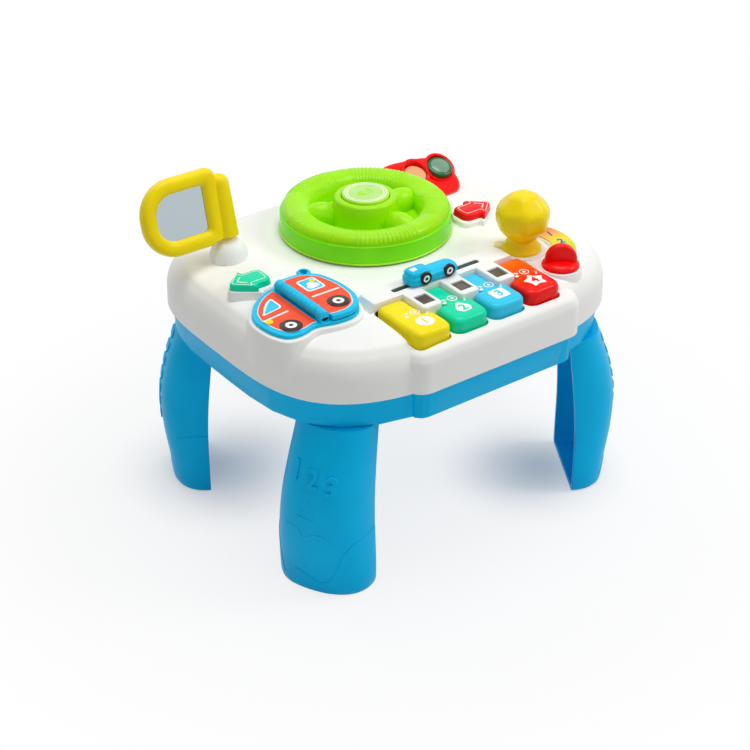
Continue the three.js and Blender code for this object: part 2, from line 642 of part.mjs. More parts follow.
function trayMass(inset, low, high) {
  const rings = (ring) => [ring(table.trayInset + table.trayTaper + inset, low), ring(table.trayInset + inset, high)];
  return join(loft(rings(outlineRing)), loft(rings(bumpRing)));
}

function legPlaces() {
  return [
    { name: 'leg_front_left', x: table.x - legs.x, y: legs.frontIn - table.frontDepth, turn: 180 + legs.turn, hand: -1 },
    { name: 'leg_front_right', x: table.x + legs.x, y: legs.frontIn - table.frontDepth, turn: -legs.turn, hand: 1 },
    { name: 'leg_back_left', x: table.x - legs.x, y: table.backDepth - legs.backIn, turn: 180 - legs.turn, hand: 1 },
    { name: 'leg_back_right', x: table.x + legs.x, y: table.backDepth - legs.backIn, turn: legs.turn, hand: -1 },
  ];
}

// A point on a leg's top plate, given along its chord and outward, in the table's frame.
function onLeg(leg, along, outward) {
  const turn = THREE.MathUtils.degToRad(leg.turn);
  const x = leg.x + outward * Math.cos(turn) + along * Math.sin(turn);
  const y = leg.y + outward * Math.sin(turn) - along * Math.cos(turn);
  return [x, y];
}

function bottomTray() {
  const floorTop = table.trayLow + table.floor;
  const shell = cut(
    trayMass(0, table.trayLow, table.seam - gap),
    trayMass(wall, floorTop, table.seam + overrun),
  );
  const adds = [];
  const cuts = [];
  for (const [x, y] of caseScrewPlaces) {
    adds.push(rod(caseScrew.cup, table.trayLow, table.trayLow + caseScrew.cupUp, x, y, 12));
    cuts.push(rod(caseScrew.pocket, table.trayLow - overrun, table.trayLow + caseScrew.pocketUp, x, y, 12));
    cuts.push(rod(caseScrew.hole, table.trayLow, table.seam, x, y, 8));
  }
  for (const leg of legPlaces()) {
    const [x, y] = onLeg(leg, leg.hand * legs.slew, legs.anchorY - legs.lean);
    adds.push(rod(legScrew.boss, table.trayLow, table.trayLow + legScrew.bossUp, x, y, 10));
    cuts.push(rod(legScrew.hole, table.trayLow - overrun, table.trayLow + legScrew.up, x, y, 8));
    for (const side of [-1, 1]) {
      const [pinX, pinY] = onLeg(leg, leg.hand * legs.slew + side * legs.pinX, legs.anchorY - legs.lean);
      adds.push(rod(legs.pinRadius + wall, table.trayLow, table.trayLow + legs.pinHigh + wall, pinX, pinY, 10));
      cuts.push(rod(legs.pinRadius + 2 * gap, table.trayLow - overrun, table.trayLow + legs.pinHigh, pinX, pinY, 10));
    }
  }
  const left = batteries.x - bay.halfWidth;
  const right = batteries.x + bay.halfWidth;
  const front = batteries.y - bay.halfLength;
  const back = batteries.y + bay.halfLength;
  adds.push(block(left - bay.skin, right + bay.skin, front - bay.skin, back + bay.skin, table.trayLow, bay.top));
  adds.push(rod(caseScrew.post, table.trayLow, floorTop + bay.screwUp, batteries.x, back + bay.tab / 2, 12));
  cuts.push(block(left, right, front, back, table.trayLow - overrun, bay.top - bay.skin));
  cuts.push(block(
    left - bay.lip, right + bay.lip, front - bay.lip, back + bay.tab, table.trayLow - overrun, table.trayLow + wall + gap,
  ));
  cuts.push(rod(caseScrew.hole, table.trayLow, floorTop + bay.screwUp - wall, batteries.x, back + bay.tab / 2, 8));
  adds.push(cut(
    rod(speaker.radius + gap + speaker.ringThick, table.trayLow, floorTop + speaker.ringUp, speaker.x, speaker.y, 24),
    rod(speaker.radius + gap, floorTop, floorTop + 2 * speaker.ringUp, speaker.x, speaker.y, 24),
  ));
  for (let ring = 1; ring <= grille.rings; ring += 1) {
    const holes = ring * grille.perRing;
    for (let i = 0; i < holes; i += 1) {
      const angle = (i / holes) * 2 * Math.PI;
      cuts.push(rod(
        grille.hole, table.trayLow - overrun, floorTop + gap,
        speaker.x + ring * grille.pitch * Math.cos(angle), speaker.y + ring * grille.pitch * Math.sin(angle), 4,
      ));
    }
  }
  cuts.push(rod(grille.hole, table.trayLow - overrun, floorTop + gap, speaker.x, speaker.y, 4));
  const slotX = powerSwitch.knobX / 2 + powerSwitch.slide + gap;
  const slotY = powerSwitch.knobY / 2 + gap;
  cuts.push(block(powerSwitch.x - slotX, powerSwitch.x + slotX, powerSwitch.y - slotY, powerSwitch.y + slotY,
    table.trayLow - overrun, floorTop + gap));
  const railX = powerSwitch.plateX / 2 + powerSwitch.slide + gap;
  for (const side of [-1, 1]) {
    const railY = powerSwitch.y + side * (powerSwitch.plateY / 2 + gap + wall / 2);
    adds.push(block(powerSwitch.x - railX, powerSwitch.x + railX, railY - wall / 2, railY + wall / 2,
      table.trayLow, floorTop + powerSwitch.thick));
  }
  return cut(join(shell, ...adds.map((add) => cut(add, trayKeeper()))), ...cuts);
}

function trayKeeper() {
  const reach = table.halfWidth + 2 * overrun;
  const big = block(-reach, reach, -reach, reach, table.trayLow - overrun, table.seam + overrun);
  return cut(big, trayMass(1.5 * gap, table.trayLow - 2 * overrun, table.seam + 2 * overrun));
}

// Legs: a channel, closed outside and at the sole, open toward the middle of the table.

const legArcSteps = 9;

function legRing(halfChord, deep, lean, z, backward, slew) {
  const ring = [];
  for (let i = 0; i <= legArcSteps; i += 1) {
    const angle = (i / legArcSteps) * Math.PI;
    const c = Math.cos(angle);
    const s = Math.sin(angle);
    const x = slew + Math.sign(c) * halfChord * Math.abs(c) ** (2 / legs.power);
    const y = deep * Math.abs(s) ** (2 / legs.power) - lean;
    ring.push(new THREE.Vector3(x, y, z));
  }
  ring.push(new THREE.Vector3(slew - halfChord, -lean - backward, z));
  ring.push(new THREE.Vector3(slew + halfChord, -lean - backward, z));
  return ring;
}

function legBody(hand) {
  const outer = loft(legShares.map(([up, chord, deep, lean]) => legRing(
    legs.halfChord * chord, legs.deep * deep, legs.lean * lean, legs.high * up, wall / 4, hand * legs.slew * lean,
  )));
  const plateLow = legs.high - legs.plate;
  const hollow = loft(legShares.map(([up, chord, deep, lean]) => legRing(
    legs.halfChord * chord - legs.skin, legs.deep * deep - legs.skin, legs.lean * lean,
    legs.sole + (plateLow - legs.sole) * up, overrun, hand * legs.slew * lean,
  )));
  const y = legs.anchorY - legs.lean;
  const pins = [-1, 1].map((side) => rod(
    legs.pinRadius, plateLow, legs.high + legs.pinHigh - gap, hand * legs.slew + side * legs.pinX, y, 10,
  ));
  const passage = rod(legScrew.passage, plateLow - overrun, legs.high + overrun, hand * legs.slew, y, 8);
  return cut(join(cut(outer, hollow), ...pins), passage);
}

// A slotted screw standing on its head, shank up, with its head's top at z = 0.
function screwBody(size, up) {
  const slot = block(-size.head / 2, size.head / 2, -size.head / 8, size.head / 8, -size.headThick - gap, -size.headThick / 2);
  return cut(join(rod(size.head, -size.headThick, 0, 0, 0, 10), rod(size.shank, -gap, up, 0, 0, 6)), slot);
}

// Steering wheel

// Radius and height shares of the wheel's ring: outer skin over, then inner skin back.
const ringOver = [[1, 0], [1, 0.62], [0.96, 0.83], [0.82, 0.97], [0.6, 1], [0.33, 0.95], [0.12, 0.8], [0, 0.5]];
const ringUnder = [[0.16, 0.5], [0.26, 0.72], [0.5, 0.85], [0.74, 0.83], [0.88, 0.62], [0.88, 0]];

function steeringWheel() {
  const w = wheel;
  const place = ([across, up]) => [w.inner + (w.outer - w.inner) * across, w.low + (w.rimTop - w.low) * up];
  const floor = w.low + w.floorThick;
  const ring = turned([
    [w.hubRadius - w.skin, w.low], [w.inner + w.skin, w.low], ...ringUnder.map(place),
    ...ringOver.map(place), [w.inner, floor], [w.hubRadius - w.skin, floor], [w.hubRadius - w.skin, w.low],
  ], 0, 0, w.sides);
  const hub = turned([
    [0, w.low], [w.hubRadius + w.skin, w.low], [w.hubRadius + w.skin / 2, w.wellLow], [w.hubRadius, w.hubTop - w.hubBevel],
    [w.hubRadius - w.hubBevel, w.hubTop], [w.wellRadius, w.hubTop], [w.wellRadius, w.wellLow], [0, w.wellLow],
  ], 0, 0, 20);
  const spokes = spokeAngles.map((degrees) => {
    const ball = new THREE.SphereGeometry(1, 10, 6);
    ball.scale(w.spokeLong, w.spokeWide, w.spokeHigh);
    ball.translate(w.spokeReach, 0, w.spokeLow);
    ball.rotateZ(THREE.MathUtils.degToRad(degrees));
    return solid(ball);
  });
  const below = block(-w.outer, w.outer, -w.outer, w.outer, w.low - 3 * overrun, w.low);
  const stem = rod(w.stemRadius, w.stemLow, floor, 0, 0, 16);
  const spring = rod(horn.stemRadius + 2 * gap, floor, w.wellLow + overrun, 0, 0, 12);
  const screwHole = rod(retainer.shank + gap, w.stemLow - overrun, w.stemLow + retainer.up + gap, 0, 0, 8);
  return cut(join(cut(join(ring, ...spokes), below), hub, stem), spring, screwHole);
}

function wheelSkirt() {
  const inside = wheel.outer + 1.5 * gap;
  return turned([
    [inside, skirt.low], [skirt.flange, skirt.low], [skirt.flange, skirt.low + skirt.flangeThick],
    [skirt.outer, skirt.low + 1.5 * skirt.flangeThick], [skirt.outer, skirt.top - gap], [inside, skirt.top], [inside, skirt.low],
  ], 0, 0, wheel.sides);
}

function hornButton() {
  return turned([
    [0, horn.stemLow - overrun], [horn.stemRadius, horn.stemLow - overrun], [horn.stemRadius, horn.low],
    [horn.radius, horn.low], [horn.radius, horn.top - horn.bevel], [horn.radius - horn.bevel, horn.top],
    [0, horn.top],
  ], 0, 0, 24);
}

function wheelWasher() {
  return cut(
    rod(retainer.radius, bearing.low - gap - retainer.thick, bearing.low - gap, 0, 0, 16),
    rod(retainer.shank + gap, 0, bearing.low, 0, 0, 8),
  );
}

// Mirror: a D-shaped frame with a barrel down its straight side, on a leaning pin.

function dShape(margin) {
  const left = -mirror.width + margin;
  const right = -margin;
  const low = margin;
  const high = mirror.high - margin;
  const square = Math.max(mirror.square - margin / 2, 1.5 * wall);
  const round = mirror.round - margin;
  const shape = new THREE.Shape();
  shape.moveTo(right - square, low);
  shape.absarc(right - square, low + square, square, -Math.PI / 2, 0, false);
  shape.absarc(right - square, high - square, square, 0, Math.PI / 2, false);
  shape.absarc(left + round, high - round, round, Math.PI / 2, Math.PI, false);
  shape.absarc(left + round, low + round, round, Math.PI, 1.5 * Math.PI, false);
  shape.closePath();
  return shape;
}

function standing(body) {
  return body.rotate([90, 0, 0]);
}

function mirrorFrame() {
  const half = mirror.thick / 2;
  const ring = cut(
    pad((margin) => dShape(-margin), -half, half, mirror.bevel, true, 3),
    slab(dShape(mirror.band), -mirror.thick, mirror.thick, 3),
    slab(dShape(mirror.band - mirror.glassLap - mirror.slotPlay), -mirror.glassThick / 2 - gap, mirror.glassThick / 2 + gap, 3),
  );
  const barrel = turned([
    [0, mirror.barrelLow], [mirror.barrelRadius * 0.8, mirror.barrelLow],
    [mirror.barrelRadius, mirror.barrelLow + mirror.barrelRadius / 5],
    [mirror.barrelRadius, mirror.barrelLong - mirror.barrelRadius / 2],
    [mirror.barrelRadius * 0.8, mirror.barrelLong - mirror.barrelRadius / 6], [mirror.barrelRadius * 0.4, mirror.barrelLong],
    [0, mirror.barrelLong],
  ], 0, 0, 16);
  const bore = rod(mirror.pinRadius + mirror.pinPlay, -overrun, mirror.pinUp + gap, 0, 0, 12);
  const plate = standing(ring).translate([-mirror.barrelRadius / 2, 0, -mirror.drop]);
  const sump = rod(mirror.domeRadius, -mirror.domeHigh, mirror.barrelLow, 0, 0, 16);
  return cut(join(plate, barrel), bore, sump);
}

function mirrorPlate() {
  const glass = slab(dShape(mirror.band - mirror.glassLap), -mirror.glassThick / 2, mirror.glassThick / 2, 3);
  return standing(glass).translate([-mirror.barrelRadius / 2, 0, -mirror.drop]);
}

// Arrow buttons

function arrowButton(place) {
  const top = arrows.plinthRise + arrows.rise;
  const cap = pad((margin) => arrowShape(place, margin), arrows.low + gap, top, arrows.bevel, false, 3);
  const foot = slab(arrowShape(place, arrows.lip), arrows.low, arrows.low + arrows.lipThick, 3);
  return join(cap, foot);
}

// Picture book

function bookBase() {
  const low = book.baseLow;
  const plate = vanMass(0, low, book.baseTop, book.play);
  const ends = [-1, 1].map((side) => {
    const outerY = book.y + side * book.spineHalf;
    const innerY = book.y + side * (book.spineHalf - book.knuckle);
    const barrel = rodAlongY(book.spineRadius, Math.min(outerY, innerY), Math.max(outerY, innerY), book.spineX, book.spineZ);
    const foot = block(book.spineX - book.spineRadius * 0.9, book.spineX + book.spineRadius * 0.9,
      Math.min(outerY, innerY), Math.max(outerY, innerY), low + gap, book.spineZ - book.spineRadius / 4);
    return join(barrel, foot);
  });
  const bore = rodAlongY(
    book.pinRadius + book.pinPlay, book.y - book.halfDepth, book.y + book.halfDepth, book.spineX, book.spineZ, 12,
  );
  return cut(join(plate, ...ends), bore);
}

function halfOfVan(grow, low, high, left, right, bevel = 0) {
  const keep = block(left, right, book.y - 2 * book.halfDepth, book.y + 2 * book.halfDepth, low - overrun, high + overrun);
  return vanMass(grow, low, high, bevel).intersect(keep);
}

function flipPage() {
  const farRight = book.spineX + 2 * book.halfWidth;
  const leaf = halfOfVan(-book.play, book.pageLow, book.pageTop, book.pageX, farRight, book.play);
  const reach = book.spineHalf - book.knuckle - gap;
  const barrel = rodAlongY(book.spineRadius, book.y - reach, book.y + reach, book.spineX, book.spineZ);
  const bridge = block(book.spineX, book.pageX + wall, book.y - reach, book.y + reach, book.pageLow, book.pageTop);
  const bore = rodAlongY(
    book.pinRadius + book.pinPlay, book.y - book.halfDepth, book.y + book.halfDepth, book.spineX, book.spineZ, 12,
  );
  return cut(join(leaf, barrel, bridge), bore);
}

// Traffic lamps, on a bar whose top tilts toward the child

function tilted(body) {
  return body.rotate([traffic.tilt, 0, 0]).translate([traffic.x, traffic.y, traffic.topZ]);
}

// The lamps' outline, in the leaning face or, flattened, in plan.
function trafficShape(grow, inPlan) {
  const depth = inPlan ? Math.cos(THREE.MathUtils.degToRad(traffic.tilt)) : 1;
  const points = trafficShares.map(([xShare, yShare]) => {
    const x = traffic.halfLong * xShare;
    const y = traffic.halfDeep * yShare;
    const point = new THREE.Vector2(x, y);
    point.setLength(point.length() + grow);
    return inPlan ? new THREE.Vector2(traffic.x + point.x, traffic.y + point.y * depth) : point;
  });
  return roundedShape(points, traffic.corner);
}

function trafficHousing() {
  const bar = pad((margin) => trafficShape(margin, false), -traffic.thick, 0, traffic.bevel, false, 3);
  const hoods = lenses.map(({ x, y, radius }) => {
    const outer = radius + traffic.lensPlay + traffic.hoodWall;
    const ring = rod(outer, -traffic.bevel, traffic.hoodHigh, x, y, 20);
    const geometry = new THREE.BoxGeometry(2 * outer, 2 * outer, 2 * traffic.hoodHigh);
    geometry.rotateX(THREE.MathUtils.degToRad(-traffic.tilt));
    geometry.translate(x, y - outer, traffic.hoodHigh);
    return cut(ring, solid(geometry));
  });
  const sockets = lenses.map(({ x, y, radius }) => rod(
    radius + traffic.lensPlay, -traffic.lensSunk - gap, 3 * traffic.hoodHigh, x, y, 20,
  ));
  const body = tilted(cut(join(bar, ...hoods), ...sockets));
  const reach = 2 * traffic.thick;
  const low = traffic.plinthTop + gap;
  const under = block(traffic.x - reach, traffic.x + reach, traffic.y - reach, traffic.y + reach, table.trayLow, low);
  const nearWheel = rod(traffic.wheelRoom, table.trayLow, traffic.topZ + reach, wheel.x, wheel.y, wheel.sides);
  return cut(body, under, nearWheel);
}

function trafficLens({ x, y, radius, high }) {
  return tilted(turned([
    [0, -traffic.lensSunk], [radius, -traffic.lensSunk], [radius, high - traffic.lip], [radius * 0.86, high], [0, high],
  ], x, y, 20));
}

// Car on a slot

function slideCar() {
  const half = slider.length / 2;
  const front = -slider.wide / 2;
  const back = slider.wide / 2;
  const bodyPart = pad(
    (margin) => rectangle(-half - margin, half + margin, front - margin, back + margin, slider.corner),
    slider.low, slider.bodyTop, slider.bevel, true, 2,
  );
  const cab = pad((margin) => rectangle(
    slider.cabRear - margin, slider.cabFront + margin, front + wall / 2 - margin, back - wall / 2 + margin, slider.corner,
  ), slider.bodyTop - wall, slider.cabTop, slider.bevel, false, 2);
  const hubs = [slider.rearWheelX, slider.frontWheelX].map((x) => rodAlongY(
    slider.wheelRadius, front - slider.wheelOut, front + wall, x, slider.wheelZ, 12,
  ));
  const stem = block(
    -slider.stemLong / 2, slider.stemLong / 2, -slider.stemWide / 2, slider.stemWide / 2, slider.stemLow, slider.low + wall,
  );
  const clip = block(
    -slider.clipLong / 2, slider.clipLong / 2, -slider.clipWide / 2, slider.clipWide / 2,
    slider.stemLow - slider.clipThick, slider.stemLow + gap,
  );
  return join(bodyPart, cab, ...hubs, stem, clip);
}

// Gear lever, knob and switch

function gearLever() {
  const g = gear;
  const low = g.seatTop + gap;
  const steps = 8;
  const profile = [[0, low], [g.baseRadius, low], [g.baseRadius, low + wall], [g.neckRadius + wall, low + 2 * wall],
    [g.neckRadius, g.waist - wall]];
  const start = Math.asin(Math.min(1, g.neckRadius / g.headRadius));
  for (let i = 1; i < steps; i += 1) {
    const angle = Math.PI - start - (i / steps) * (Math.PI - start);
    profile.push([g.headRadius * Math.sin(angle), g.headZ + g.headRadius * g.headSquash * Math.cos(angle)]);
  }
  profile.push([0, g.headZ + g.headRadius * g.headSquash]);
  const grip = turned(profile, 0, 0, 20);
  const stem = rod(g.stemRadius, g.stemLow, low + wall, 0, 0, 12);
  const pointer = new THREE.Shape();
  pointer.moveTo(0, -g.tongueWide / 2);
  pointer.lineTo(g.tongueLong - g.tongueWide / 2, -g.tongueWide / 3);
  pointer.quadraticCurveTo(g.tongueLong, 0, g.tongueLong - g.tongueWide / 2, g.tongueWide / 3);
  pointer.lineTo(0, g.tongueWide / 2);
  pointer.closePath();
  const tongue = slab(pointer, low, low + g.tongueThick, 3).rotate([0, 0, g.tongueTurn]);
  const screwHole = rod(caseScrew.hole, g.stemLow - overrun, g.stemLow + 2 * g.stemRadius, 0, 0, 8);
  return cut(join(grip, stem, tongue), screwHole);
}

function startKnob() {
  const low = knob.seatTop + gap;
  const collar = turned([
    [0, low], [knob.radius, low], [knob.radius, low + knob.collar / 2], [knob.radius * 0.88, low + knob.collar],
    [knob.radius * 0.5, low + 1.4 * knob.collar], [0, low + 1.5 * knob.collar],
  ], 0, 0, 24);
  const finShape = (margin) => {
    const fin = new THREE.Shape();
    const reach = knob.finRadius + margin;
    fin.moveTo(-reach, -margin);
    fin.lineTo(reach, -margin);
    fin.absarc(0, knob.high - knob.finRadius, reach, 0, Math.PI, false);
    fin.closePath();
    return fin;
  };
  const half = knob.finThick / 2;
  const plate = pad(finShape, -half, half, knob.finBevel, true, 5).rotate([90, 0, 0]).translate([0, 0, low + gap]);
  const stem = rod(knob.stemRadius, knob.stemLow, low + gap, 0, 0, 12);
  const screwHole = rod(caseScrew.hole, knob.stemLow - overrun, knob.stemLow + 2 * knob.stemRadius, 0, 0, 8);
  return cut(join(collar, plate, stem), screwHole);
}

// A round clip under a stem, held by its own screw, so that the stem can't lift out.
function stemClip(radius, bossLow) {
  return cut(
    rod(radius, bossLow - gap - 2 * retainer.thick, bossLow - gap, 0, 0, 14),
    rod(caseScrew.shank + gap, 0, bossLow, 0, 0, 8),
    rod(radius - wall, bossLow - gap - retainer.thick, bossLow, 0, 0, 14),
  );
}

function switchKnob() {
  const floorTop = table.trayLow + table.floor;
  return join(
    block(-powerSwitch.plateX / 2, powerSwitch.plateX / 2, -powerSwitch.plateY / 2, powerSwitch.plateY / 2,
      floorTop + gap, floorTop + gap + powerSwitch.thick),
    block(-powerSwitch.knobX / 2, powerSwitch.knobX / 2, -powerSwitch.knobY / 2, powerSwitch.knobY / 2,
      powerSwitch.knobLow, floorTop + 2 * gap),
  );
}

// Scene graph

const root = new THREE.Group();
const model = new THREE.Group();
root.add(model);

function put(name, body, colour, options = {}) {
  const { at = [0, 0, 0], turn = 0, roughness = 0.35, metalness = 0, parent = model } = options;
  const material = new THREE.MeshStandardMaterial({ color: colour, roughness, metalness });
  const mesh = new THREE.Mesh(toGeometry(body), material);
  mesh.name = name;
  mesh.position.set(...at);
  mesh.rotation.z = THREE.MathUtils.degToRad(turn);
  parent.add(mesh);
  return mesh;
}

put('top_shell', topShell(), colours.white);
put('bottom_tray', bottomTray(), colours.blue);

// Legs and their screws
for (const leg of legPlaces()) {
  put(leg.name, legBody(leg.hand), colours.blue, { at: [leg.x, leg.y, 0], turn: leg.turn - 90 });
  const [x, y] = onLeg(leg, leg.hand * legs.slew, legs.anchorY - legs.lean);
  put(leg.name.replace('leg_', 'leg_screw_'), screwBody(legScrew, legs.plate + legScrew.up - 2 * gap), colours.steel, {
    at: [x, y, legs.high - legs.plate - gap], roughness: 0.3, metalness: 0.9,
  });
}
caseScrewPlaces.forEach(([x, y], i) => {
  put(`case_screw_${i + 1}`, screwBody(caseScrew, caseScrew.up), colours.steel, {
    at: [x, y, table.trayLow + caseScrew.pocketUp - gap], roughness: 0.3, metalness: 0.9,
  });
});

// Battery bay, loudspeaker, board and switch
function batteryDoor() {
  const left = -bay.halfWidth - bay.lip + gap;
  const right = bay.halfWidth + bay.lip - gap;
  const front = -bay.halfLength - bay.lip + gap;
  const back = bay.halfLength + bay.tab - gap;
  return cut(
    block(left, right, front, back, table.trayLow, table.trayLow + wall),
    rod(caseScrew.hole + gap, 0, table.seam, 0, bay.halfLength + bay.tab / 2, 8),
    rod(caseScrew.head + gap, 0, table.trayLow + wall / 2, 0, bay.halfLength + bay.tab / 2, 12),
  );
}
put('battery_door', batteryDoor(), colours.blue, { at: [batteries.x, batteries.y, 0] });
const doorScrew = { ...caseScrew, headThick: wall / 2 };
put('battery_door_screw', screwBody(doorScrew, bay.screwUp - wall), colours.steel, {
  at: [batteries.x, batteries.y + bay.halfLength + bay.tab / 2, table.trayLow + wall / 2 - gap], roughness: 0.3, metalness: 0.9,
});
function battery() {
  const half = batteries.length / 2;
  return join(
    rodAlongY(batteries.radius, -half, half, 0, 0, 12),
    rodAlongY(batteries.nubRadius, half - gap, half + batteries.nub, 0, 0, 8),
  );
}
for (let i = 0; i < batteries.count; i += 1) {
  put(`battery_${i + 1}`, battery(), colours.steel, {
    at: [batteries.x + (i - (batteries.count - 1) / 2) * batteries.pitch, batteries.y, batteries.z], metalness: 0.6,
  });
}
const floorTop = table.trayLow + table.floor;
put('speaker', join(
  rod(speaker.radius, floorTop + gap, floorTop + gap + speaker.thick, 0, 0, 24),
  rod(speaker.magnetRadius, floorTop + speaker.thick, floorTop + gap + speaker.thick + speaker.magnetThick, 0, 0, 16),
), colours.black, { at: [speaker.x, speaker.y, 0] });
put('circuit_board', block(
  -board.halfWidth, board.halfWidth, board.front, board.back, board.low, board.low + board.thick,
), colours.board, { at: [board.x, 0, 0] });
const stripLow = board.low + board.thick + gap;
put('contact_strip', join(
  block(-strip.halfWidth, strip.halfWidth, -strip.halfLength, strip.halfLength, stripLow, stripLow + strip.thick - strip.pad),
  ...Array.from({ length: keys.count }, (_, i) => rod(
    strip.padRadius, stripLow + gap, stripLow + strip.thick, keyX(i) - keys.x, 0, 10,
  )),
), colours.rubber, { at: [keys.x, keys.plungerY, 0], roughness: 0.8 });
put('power_switch', switchKnob(), colours.yellow, { at: [powerSwitch.x, powerSwitch.y, 0] });

// Keyboard
const keyColours = [colours.yellow, colours.teal, colours.sky, colours.red];
for (let i = 0; i < keys.count; i += 1) {
  put(`key_${i + 1}`, keyCap(i), keyColours[i]);
}
put('key_axle', rodAlongX(
  axle.radius, keyX(0) - axle.over, keyX(keys.count - 1) + axle.over, axle.y, axle.z, axle.sides,
), colours.steel, { metalness: 0.9 });
for (let i = 0; i + 1 < keys.count; i += 1) {
  const halfX = windows.glassWidth / 2 + wall / 2 - gap;
  const halfY = windows.glassLength / 2 + wall / 2 - gap;
  const top = plateau.top - windows.sunk - gap;
  put(`led_window_${i + 1}`, block(-halfX, halfX, -halfY, halfY, top - windows.thick, top), colours.smoke, {
    at: [windowX(i), windows.y, 0], roughness: 0.2,
  });
}

// Steering wheel with its horn button
const wheelGroup = new THREE.Group();
wheelGroup.position.set(wheel.x, wheel.y, 0);
model.add(wheelGroup);
put('wheel_rim', steeringWheel(), colours.green, { parent: wheelGroup });
put('wheel_skirt', wheelSkirt(), colours.glassGreen, { parent: wheelGroup });
put('horn_button', hornButton(), colours.green, { parent: wheelGroup });
put('wheel_washer', wheelWasher(), colours.steel, { parent: wheelGroup, metalness: 0.9 });
put('wheel_screw', screwBody(
  { head: retainer.screwHead, headThick: retainer.screwHeadThick, shank: retainer.shank }, retainer.up,
), colours.steel, { parent: wheelGroup, at: [0, 0, bearing.low - 2 * gap - retainer.thick], metalness: 0.9 });

// Mirror
put('mirror_frame', leaning(mirrorFrame()), colours.yellow);
put('mirror_plate', leaning(mirrorPlate()), colours.silver, { roughness: 0.05, metalness: 1 });
put('mirror_pin', leaning(rod(mirror.pinRadius, gap - mirror.pinDown, mirror.pinUp, 0, 0, 12)), colours.steel, { metalness: 0.9 });

// Arrow buttons
put('arrow_left', arrowButton(arrowPlaces[0]), colours.teal);
put('arrow_right', arrowButton(arrowPlaces[1]), colours.red);

// Picture book
put('book_base', bookBase(), colours.sky);
const farLeft = book.spineX - 2 * book.halfWidth;
put('book_card', halfOfVan(
  -book.cardInset, book.baseTop + gap, book.baseTop + gap + book.cardThick, farLeft, book.cardX,
), colours.card);
put('flip_page', flipPage(), colours.sky);
put('page_card', halfOfVan(
  -book.cardInset, book.pageTop + gap, book.pageTop + gap + book.cardThick, book.pageX + gap, book.spineX + 2 * book.halfWidth,
), colours.card);
put('book_pin', rodAlongY(
  book.pinRadius, book.y - book.spineHalf + gap, book.y + book.spineHalf - gap, book.spineX, book.spineZ, 12,
), colours.steel, { metalness: 0.9 });

// Traffic lamps
put('traffic_housing', trafficHousing(), colours.red);
for (const lens of lenses) put(lens.name, trafficLens(lens), lens.colour, { roughness: 0.15 });

// Sliding car, gear lever, dial and start knob
put('slide_car', slideCar(), colours.sky, { at: [slider.x, slider.y, 0] });
put('gear_lever', gearLever(), colours.gearYellow, { at: [gear.x, gear.y, 0] });
put('gear_dial', arcPlate(dial.inner, dial.outer, 0, dial.low, dial.low + dial.thick), colours.orange);
put('gear_clip', stemClip(gear.boss, gear.bossLow), colours.black, { at: [gear.x, gear.y, 0] });
put('start_knob', startKnob(), colours.red, { at: [knob.x, knob.y, 0], turn: knob.finTurn });
put('knob_clip', stemClip(knob.boss, knob.bossLow), colours.black, { at: [knob.x, knob.y, 0] });
for (const [name, place, low] of [['gear_screw', gear, gear.bossLow], ['knob_screw', knob, knob.bossLow]]) {
  put(name, screwBody(caseScrew, caseScrew.up / 2), colours.steel, {
    at: [place.x, place.y, low - 2 * gap - 2 * retainer.thick], metalness: 0.9,
  });
}

// The origin lies under the middle of the whole object.
const extent = new THREE.Box3().setFromObject(model, true);
const middle = extent.getCenter(new THREE.Vector3());
model.position.set(-middle.x, -middle.y, 0);

export default root;
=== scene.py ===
"""Looks of the toddler activity table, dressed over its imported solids.

Sizes are in millimetres in the table's own frame and become metres when a mesh is made.
"""

import math

import bmesh
import bpy
import numpy as np
from mathutils import Matrix, Vector

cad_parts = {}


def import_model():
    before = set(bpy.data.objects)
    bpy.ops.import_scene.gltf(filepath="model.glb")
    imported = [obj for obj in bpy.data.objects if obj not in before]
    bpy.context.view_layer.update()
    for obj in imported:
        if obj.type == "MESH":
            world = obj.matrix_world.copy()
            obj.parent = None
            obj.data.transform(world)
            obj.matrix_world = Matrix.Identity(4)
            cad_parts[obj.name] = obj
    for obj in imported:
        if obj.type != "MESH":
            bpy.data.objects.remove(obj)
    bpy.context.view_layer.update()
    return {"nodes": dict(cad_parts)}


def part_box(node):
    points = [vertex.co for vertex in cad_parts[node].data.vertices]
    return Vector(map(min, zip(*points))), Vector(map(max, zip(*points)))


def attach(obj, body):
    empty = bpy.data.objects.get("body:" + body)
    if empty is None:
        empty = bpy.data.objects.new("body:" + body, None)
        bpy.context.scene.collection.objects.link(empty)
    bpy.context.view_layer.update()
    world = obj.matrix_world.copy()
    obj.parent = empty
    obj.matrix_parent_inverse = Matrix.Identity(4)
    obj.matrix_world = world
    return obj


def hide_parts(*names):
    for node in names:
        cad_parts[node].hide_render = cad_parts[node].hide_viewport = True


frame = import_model()

# Driving sizes: the gap between parts, the plastic's wall, two widths of softened edge, a print's
# and a card's thickness, and how many sides the table's outline has.
MM = 0.001
GAP = 0.3
WALL = 2.6
EDGE = 0.4
SOFT = 0.5
PRINT = 0.2
CARD = 0.9
FINE = 144

